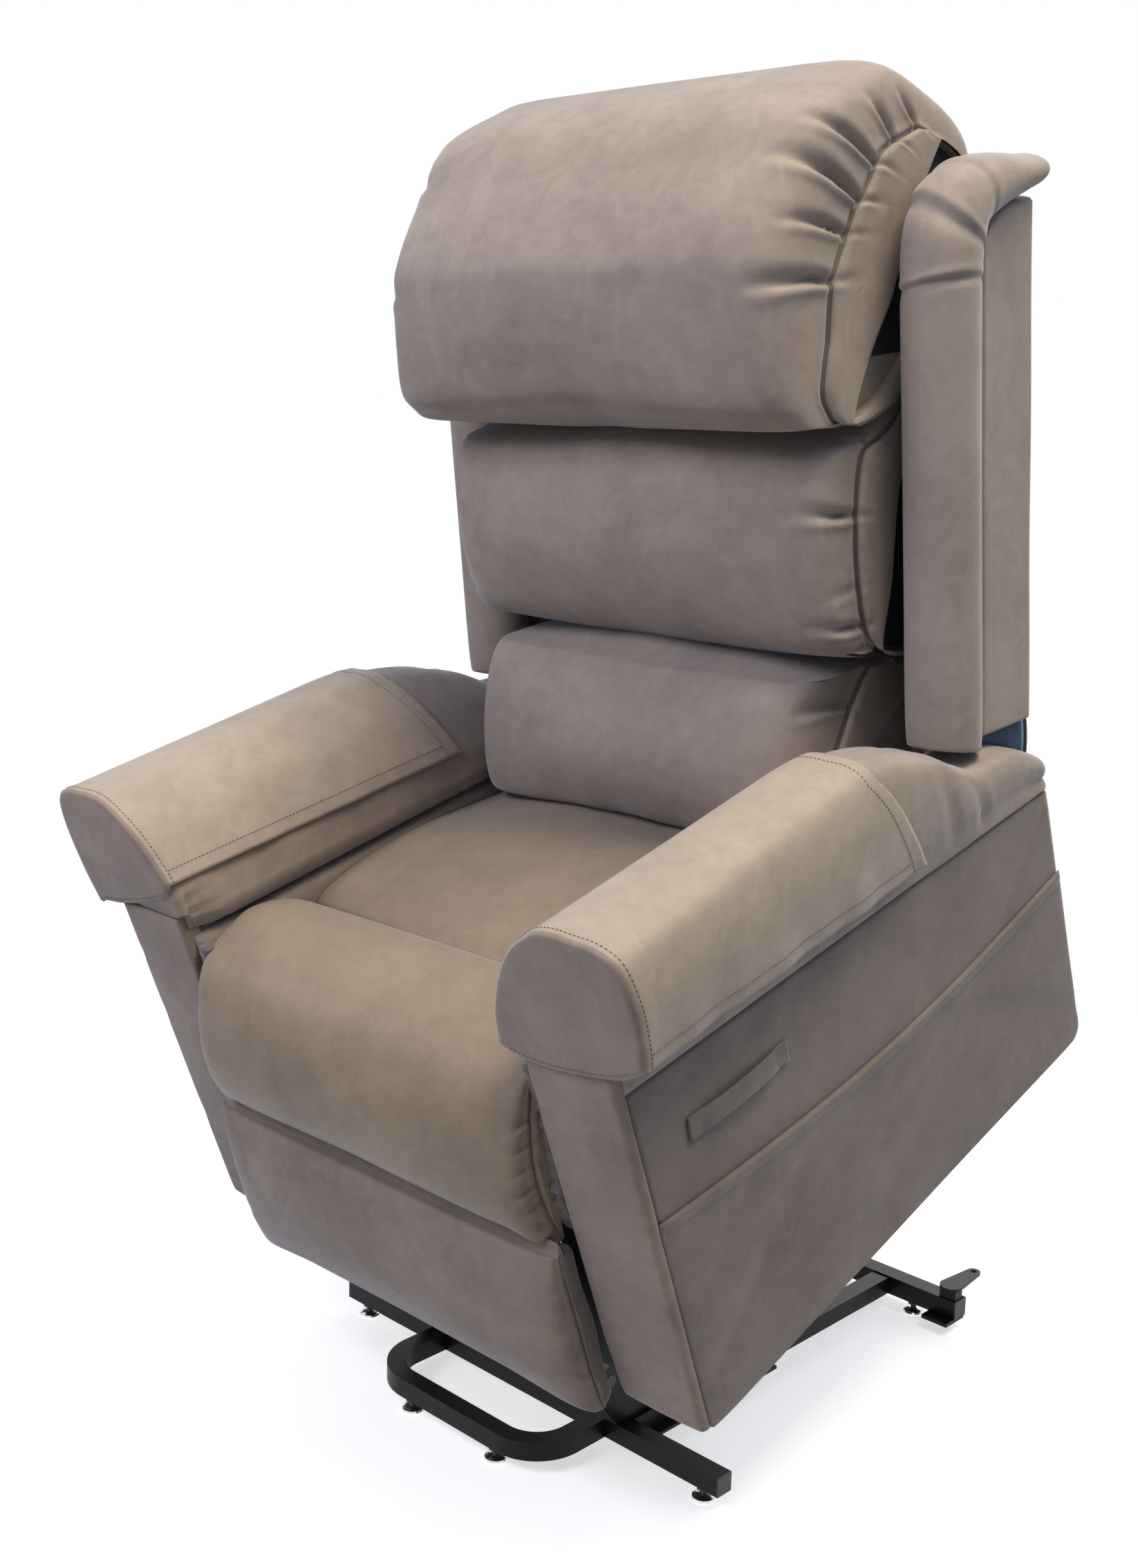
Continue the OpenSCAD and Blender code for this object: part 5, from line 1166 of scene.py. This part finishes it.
pad_section = closed_curve([(0, -1), (0, 0), (0, 1), (-0.5, 1), (-0.95, 0.8), (-1, 0), (-0.95, -0.8),
                            (-0.5, -1)], 48)
for side, name in SIDES:
    rings = []
    for u in np.linspace(-1, 1, 70):
        y = 15 + 545 * (u + 1) / 2
        k = 0.5 + 0.5 * max(0.0, 1 - abs(u) ** 10) ** 0.3
        top, low = seam_line(y) - 2, 266.0
        m, h = (top + low) / 2, (top - low) / 2
        pleat = sum(deep * math.exp(-((y - y0) / wide) ** 2) for y0, wide, deep in
                    ((24, 3, 4.5), (34, 4, 5.5), (50, 5, 4.5), (74, 8, 2.5), (120, 12, 1.5)))
        q = np.clip(pad_section, (-1, -1), (0, 1))
        depth = 24 * k - pleat
        rings.append(np.column_stack([288.8 + q[:, 0] * depth, np.full(48, y), m + q[:, 1] * h]))
    made = loft("arm_inner_pad_cover_" + name, on_body(mirrored(np.array(rings), side)), taupe_suede)
    if side > 0:
        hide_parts("arm_inner_pads")
    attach(made, "chassis")
    # The inner linings and rear returns are in the near-black cloth, painted shade inside the arms.
    upholstered("arm_inner_lining_" + name, [(561, 272), (650, 272), (742, 272)],
                [(561, 361), (650, 352), (742, 344)], 288.8, 286.2, lining_and_shade_cloth, on_body, "chassis", [],
                51, edge=2.0, columns=40, rows=10, side=side)
    upholstered("arm_rear_return_" + name, [(265.5, 190), (288.5, 190)], [(265.5, 344), (288.5, 344)],
                741.5, 738.5, lining_and_shade_cloth, on_body, "chassis", [], 52, edge=2.0, columns=12,
                rows=24, side=side, axis=1)

STRAP_HALF, STRAP_T = 12.5, 2.6  # half its width, and its thickness
strap_ends = np.array([[78.0, 318.0 + STRAP_HALF], [230.0, 309.0 + STRAP_HALF]])
direction = (strap_ends[1] - strap_ends[0]) / np.linalg.norm(strap_ends[1] - strap_ends[0])
across = np.array([-direction[1], direction[0]])


def on_strap(x, t, o):
    """A point x out, t along the strap and o across it."""
    y, z = strap_ends[0] + (strap_ends[1] - strap_ends[0]) * t + across * o
    return x, y, z


rings = []
for t in np.linspace(0, 1, 60):
    lift = 4.2 * max(0.0, 1 - ((t - 0.5) / 0.37) ** 2) ** 0.55
    half_w = STRAP_HALF - (0.6 if 0.14 < t < 0.86 else 0)
    x0 = SIDE_X + 0.1 + lift
    prof = [(x0, -half_w), (x0 + STRAP_T * 0.7, -half_w), (x0 + STRAP_T, -half_w + 1.2),
            (x0 + STRAP_T, half_w - 1.2), (x0 + STRAP_T * 0.7, half_w), (x0, half_w)]
    rings.append([on_strap(x, t, o) for x, o in prof])
strap = loft("handset_strap_band", on_body(np.array(rings)), dark_suede)
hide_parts("handset_strap")
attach(strap, "chassis")
for k, (t0, t1) in enumerate(((0.015, 0.12), (0.88, 0.985))):
    corners = [(t0, -10), (t1, -10), (t1, 10), (t0, 10), (t0, -10)]
    line = []
    for (ta, oa), (tb, ob) in zip(corners[:-1], corners[1:]):
        for s in np.linspace(0, 1, 12)[:-1]:
            line.append(on_strap(SIDE_X + 2.3, ta + (tb - ta) * s, oa + (ob - oa) * s))
    line = on_body(np.array(line)) * 1000
    stitches(f"strap_stitches_{k}", line, np.tile([1.0, 0, 0], (len(line), 1)), "chassis", pitch=4.2,
             length=2.8)

# ---- Wings ----
# Padded rolls run up the front edges of the wings and back over their tops to flat tabs. Behind
# them thin padded panels close the sides of the box, and one wide panel closes the back. A loose
# skirt hangs from that panel, and a dark apron closes the gap between the back box and the seat.
WING_X, ROLL_V, ROLL_R = 352.0, -31.0, 42.0  # the middle of a roll and its radius
WING_DEPTH, WING_BOTTOM = 118.0, 212.0       # the rear and the foot of the box
wing_keys = np.array(
    [[ROLL_V, WING_BOTTOM + s, lean, k, k] for s, lean, k in
     ((0, 14, 0.6), (5, 12, 0.86), (18, 8, 1), (170, 0, 1), (330, 0, 1))]
    + [[ROLL_V + a, BACK_TOP + b, lean, k, h] for a, b, lean, k, h in (
        (0, -128, 0, 1, 1), (1, -70, 4, 1, 1.02), (5, -40, 24, 1, 1.06), (15, -17, 47, 1, 1.06),
        (31, -1, 68, 0.98, 0.96), (56, 9, 81, 0.96, 0.84), (91, 16, 87, 0.92, 0.68), (131, 21, 90, 0.88, 0.5),
        (152, 24, 90, 0.84, 0.42), (160, 24, 90, 0.7, 0.26))])
wing_run = length_along(wing_keys[:, :2])
wing_at = np.interp(np.linspace(0, wing_run[-1], 320), wing_run, np.arange(len(wing_keys)))
wing_path = cubic(wing_keys, wing_at)
wing_t = np.interp(wing_at, np.arange(len(wing_keys)), wing_run)
for side, name in SIDES:
    rings = []
    for (v, w, lean, kx, kt), t in zip(wing_path, wing_t):
        a = np.linspace(0, 2 * math.pi, 96, endpoint=False)
        cosine, sine = np.cos(a), np.sin(a)
        square = (np.abs(cosine) ** 2.4 + np.abs(sine) ** 2.4) ** (-1 / 2.4)
        c, s = math.cos(math.radians(lean)), math.sin(math.radians(lean))
        r = ROLL_R - 0.8
        pleat = np.zeros(len(a))
        front = 0.5 - 0.5 * sine
        outer = 0.5 + 0.5 * cosine
        for t0, wide, deep, skew, reach in ((492, 4.2, 6.0, 9, 1.0), (551, 4.4, 6.5, -9, 1.0),
                                            (590, 5, 3.5, 6, 0.7)):
            off = (t - t0 - skew * cosine) / wide
            steep = np.where(off > 0, off / 0.6, off / 1.9)
            pleat += deep * (-np.exp(-steep ** 2) + 0.4 * np.exp(-((off - 1.6) / 1.0) ** 2)) * (
                0.12 + 0.88 * front ** 1.5 * (0.35 + 0.65 * outer ** reach))
        seam_crease = -1.6 * np.exp(-((a - math.radians(62)) / 0.05) ** 2)
        rad_x = r * kx * (0.93 + 0.07 * square) + pleat + seam_crease
        rad_t = r * kt * (0.93 + 0.07 * square) + pleat + seam_crease
        rings.append(np.stack([WING_X + rad_x * cosine, v + rad_t * sine * c, w - rad_t * sine * s], -1))
    rings = np.array(rings)
    rings = rings + outward(rings) * ripples(rings, 41, 70.0, 0.7)[..., None]
    made = loft("wing_roll_cover_" + name, on_back(mirrored(rings, side)), taupe_suede)
    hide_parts("wing_roll_" + name)
    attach(made, "backrest")
    panel_front = ROLL_V + ROLL_R + 0.2
    upholstered("wing_panel_cover_" + name,
                [(panel_front, WING_BOTTOM + 2), (60, WING_BOTTOM + 1), (WING_DEPTH, WING_BOTTOM + 1)],
                [(panel_front + 4.6, BACK_TOP - 44), (34, BACK_TOP - 25), (54, BACK_TOP - 12),
                 (80, BACK_TOP - 4), (WING_DEPTH, BACK_TOP - 1)],
                351.5, 373.5, taupe_suede, on_back, "backrest", ["wing_panels"], 43, edge=8.0,
                side=side, columns=40, rows=110)


def rear_cloth(name, half, low, high, inner, outer, material, replaced, seed, edge, columns, rows):
    """A padded panel across the back, from one height along the lean to another."""
    across = np.linspace(-half, half, 9)
    upholstered(name, [(x, low) for x in across], [(x, high) for x in across], inner, outer, material,
                on_back, "backrest", replaced, seed, edge=edge, columns=columns, rows=rows, axis=1)


rear_cloth("back_rear_cover", 350, WING_BOTTOM, BACK_TOP - 8, WING_DEPTH - 11, WING_DEPTH - 3, taupe_suede,
           ["back_rear_panel"], 45, 7.0, 120, 90)
rear_cloth("back_rear_skirt", 256, WING_BOTTOM - 150, WING_BOTTOM + 1, WING_DEPTH - 11, WING_DEPTH - 3.4,
           dark_suede, [], 46, 5.0, 90, 30)
# The apron is in the near-black cloth, which paints the shade in the gap behind the seat.
rear_cloth("back_inner_apron", 280, 48, 121, 69.0, 63.0, lining_and_shade_cloth, [], 48, 3.0, 60, 16)
bpy.context.view_layer.update()

# ---- Back gussets ----
# Blue stretch cloth closes the wedge below each wing, with a serged edge and a black tape at the
# rear where it is stapled to the box. Its foot follows the arc of the arm's rear end.
GUSSET_FOOT = 203.6  # its radius about the back's pivot


def finish(name, color, color2, rough, metal=0.0, scale=60.0, bump=0.1, distance=0.0003, coat=0.0,
           stretch=(1, 1, 1)):
    """A plain finish that clouds between two colours, with a fine unevenness of the surface."""
    made = bpy.data.materials.new(name)
    made.use_nodes = True
    t = made.node_tree
    skin = t.nodes["Principled BSDF"]
    place = t.nodes.new("ShaderNodeMapping")
    place.inputs["Scale"].default_value = stretch
    t.links.new(t.nodes.new("ShaderNodeTexCoord").outputs["Object"], place.inputs["Vector"])
    n = t.nodes.new("ShaderNodeTexNoise")
    n.inputs["Scale"].default_value = scale
    n.inputs["Detail"].default_value = 4
    t.links.new(place.outputs["Vector"], n.inputs["Vector"])
    ramp = t.nodes.new("ShaderNodeValToRGB")
    ramp.color_ramp.elements[0].position = 0.35
    ramp.color_ramp.elements[1].position = 0.65
    ramp.color_ramp.elements[0].color = (*color, 1)
    ramp.color_ramp.elements[1].color = (*color2, 1)
    t.links.new(n.outputs["Fac"], ramp.inputs["Fac"])
    t.links.new(ramp.outputs["Color"], skin.inputs["Base Color"])
    spread = t.nodes.new("ShaderNodeMapRange")
    spread.inputs["To Min"].default_value = rough - 0.06
    spread.inputs["To Max"].default_value = rough + 0.06
    t.links.new(n.outputs["Fac"], spread.inputs["Value"])
    t.links.new(spread.outputs["Result"], skin.inputs["Roughness"])
    skin.inputs["Metallic"].default_value = metal
    skin.inputs["Coat Weight"].default_value = coat
    b = t.nodes.new("ShaderNodeBump")
    b.inputs["Strength"].default_value = bump
    b.inputs["Distance"].default_value = distance
    t.links.new(n.outputs["Fac"], b.inputs["Height"])
    t.links.new(b.outputs["Normal"], skin.inputs["Normal"])
    return made


denim = finish("blue_stretch_cloth", (0.022, 0.045, 0.09), (0.045, 0.085, 0.15), 0.82, 0.0, 260, 0.6, 0.0006)
serging = finish("pale_blue_serging", (0.16, 0.26, 0.36), (0.30, 0.42, 0.52), 0.8, 0.0, 900, 0.8, 0.0006)
for side, name in SIDES:
    at_v = np.linspace(2, 128, 14)
    upholstered("back_gusset_cover_" + name, [(v, math.sqrt(GUSSET_FOOT ** 2 - v * v)) for v in at_v],
                [(v, WING_BOTTOM + 5) for v in at_v], 352.8, 359.5, denim, on_back, "backrest",
                ["back_gussets"], 47, edge=15.0, columns=70, rows=26, side=side)
    for part, v0, v1, color in (("serged_edge", 117.5, 121.5, serging), ("tape", 122.5, 129.5, lining_and_shade_cloth)):
        rings = []
        for t in np.linspace(0.02, 0.98, 30):
            middle = (v0 + v1) / 2
            z = math.sqrt(GUSSET_FOOT ** 2 - middle ** 2)
            z = z + (WING_BOTTOM + 4 - z) * t
            x = 356.5 + 1.5 * math.sin(math.pi * t)
            rings.append([(x + 1.4, v0, z), (x + 2.2, middle, z), (x + 1.4, v1, z), (x - 3, v1, z),
                          (x - 3, v0, z)])
        edge = loft(f"gusset_{part}_{name}", on_back(mirrored(np.array(rings), side)), color)
        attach(edge, "backrest")

# ---- Frame, drives and hidden pieces ----
# Square steel tube in satin black paint, grey steel and zinc plated pressings, polished glides,
# moulded plastic housings, plywood boxes and black webbing, as the maker leaves them.
black_satin = finish("black_satin_paint", (0.0035, 0.0035, 0.004), (0.006, 0.006, 0.007), 0.42, 0.0, 400,
                     0.25, 0.0002, 0.05)
black_satin.node_tree.nodes["Principled BSDF"].inputs["Specular IOR Level"].default_value = 0.17
zinc = finish("zinc_plate", (0.42, 0.42, 0.43), (0.55, 0.55, 0.56), 0.36, 0.9, 90, 0.15)
grey_steel = finish("grey_steel", (0.045, 0.047, 0.046), (0.065, 0.067, 0.066), 0.5, 0.25, 90, 0.15)
chrome = finish("polished_steel", (0.7, 0.7, 0.71), (0.8, 0.8, 0.81), 0.14, 1.0, 200, 0.03)
moulded = finish("black_moulded_plastic", (0.02, 0.02, 0.021), (0.032, 0.032, 0.034), 0.5, 0.0, 700, 0.3,
                 0.0002)
plywood = finish("plywood", (0.48, 0.34, 0.2), (0.62, 0.47, 0.3), 0.62, 0.0, 14, 0.2, 0.0004, 0.0, (1, 1, 9))
elastic = finish("black_webbing", (0.03, 0.03, 0.034), (0.06, 0.06, 0.066), 0.8, 0.0, 500, 0.6, 0.0006)
dark_cloth = finish("dark_inner_cloth", (0.008, 0.009, 0.012), (0.016, 0.018, 0.024), 0.85, 0.0, 300, 0.4,
                    0.0004)

by_finish = {
    black_satin: ["front_crossbar", "front_loop", "side_rails", "rear_crossbar", "base_plates",
                  "rear_ear_brackets", "lift_brackets", "motor_clevis", "lift_arms", "lift_torque_tube",
                  "stay_links", "cross_tubes",
                  "pivot_lugs", "back_posts", "back_cross_bars", "back_pivot_frame"],
    grey_steel: ["lift_bracket_pins", "side_plates", "chassis_pivot_pins", "legrest_drive", "legrest_links",
                 "legrest_brackets"],
    zinc: ["lift_rod", "recline_carriage", "legrest_carriage"],
    chrome: ["foot_glides"],
    moulded: ["tube_end_caps", "foot_stems", "lift_motor_housing", "control_box", "power_inlet",
              "recline_motor", "legrest_motor"],
    plywood: ["seat_frame", "arm_boxes", "back_box", "legrest_board"],
    elastic: ["seat_webbing"],
    dark_cloth: ["back_inner_cover"],
    denim: ["back_gussets"],
    dark_suede: ["rear_cover_panel"]}
for material, names in by_finish.items():
    for name in names:
        mesh = nodes[name].data
        mesh.materials.clear()
        mesh.materials.append(material)
for name in ("front_crossbar", "front_loop", "side_rails", "rear_crossbar", "tube_end_caps", "lift_arms",
             "stay_links", "rear_ear_brackets", "lift_brackets"):
    soften = nodes[name].modifiers.new("rounded_edges", "BEVEL")
    soften.width = 0.0014
    soften.segments = 2
    soften.limit_method = "ANGLE"
    soften.angle_limit = math.radians(40)
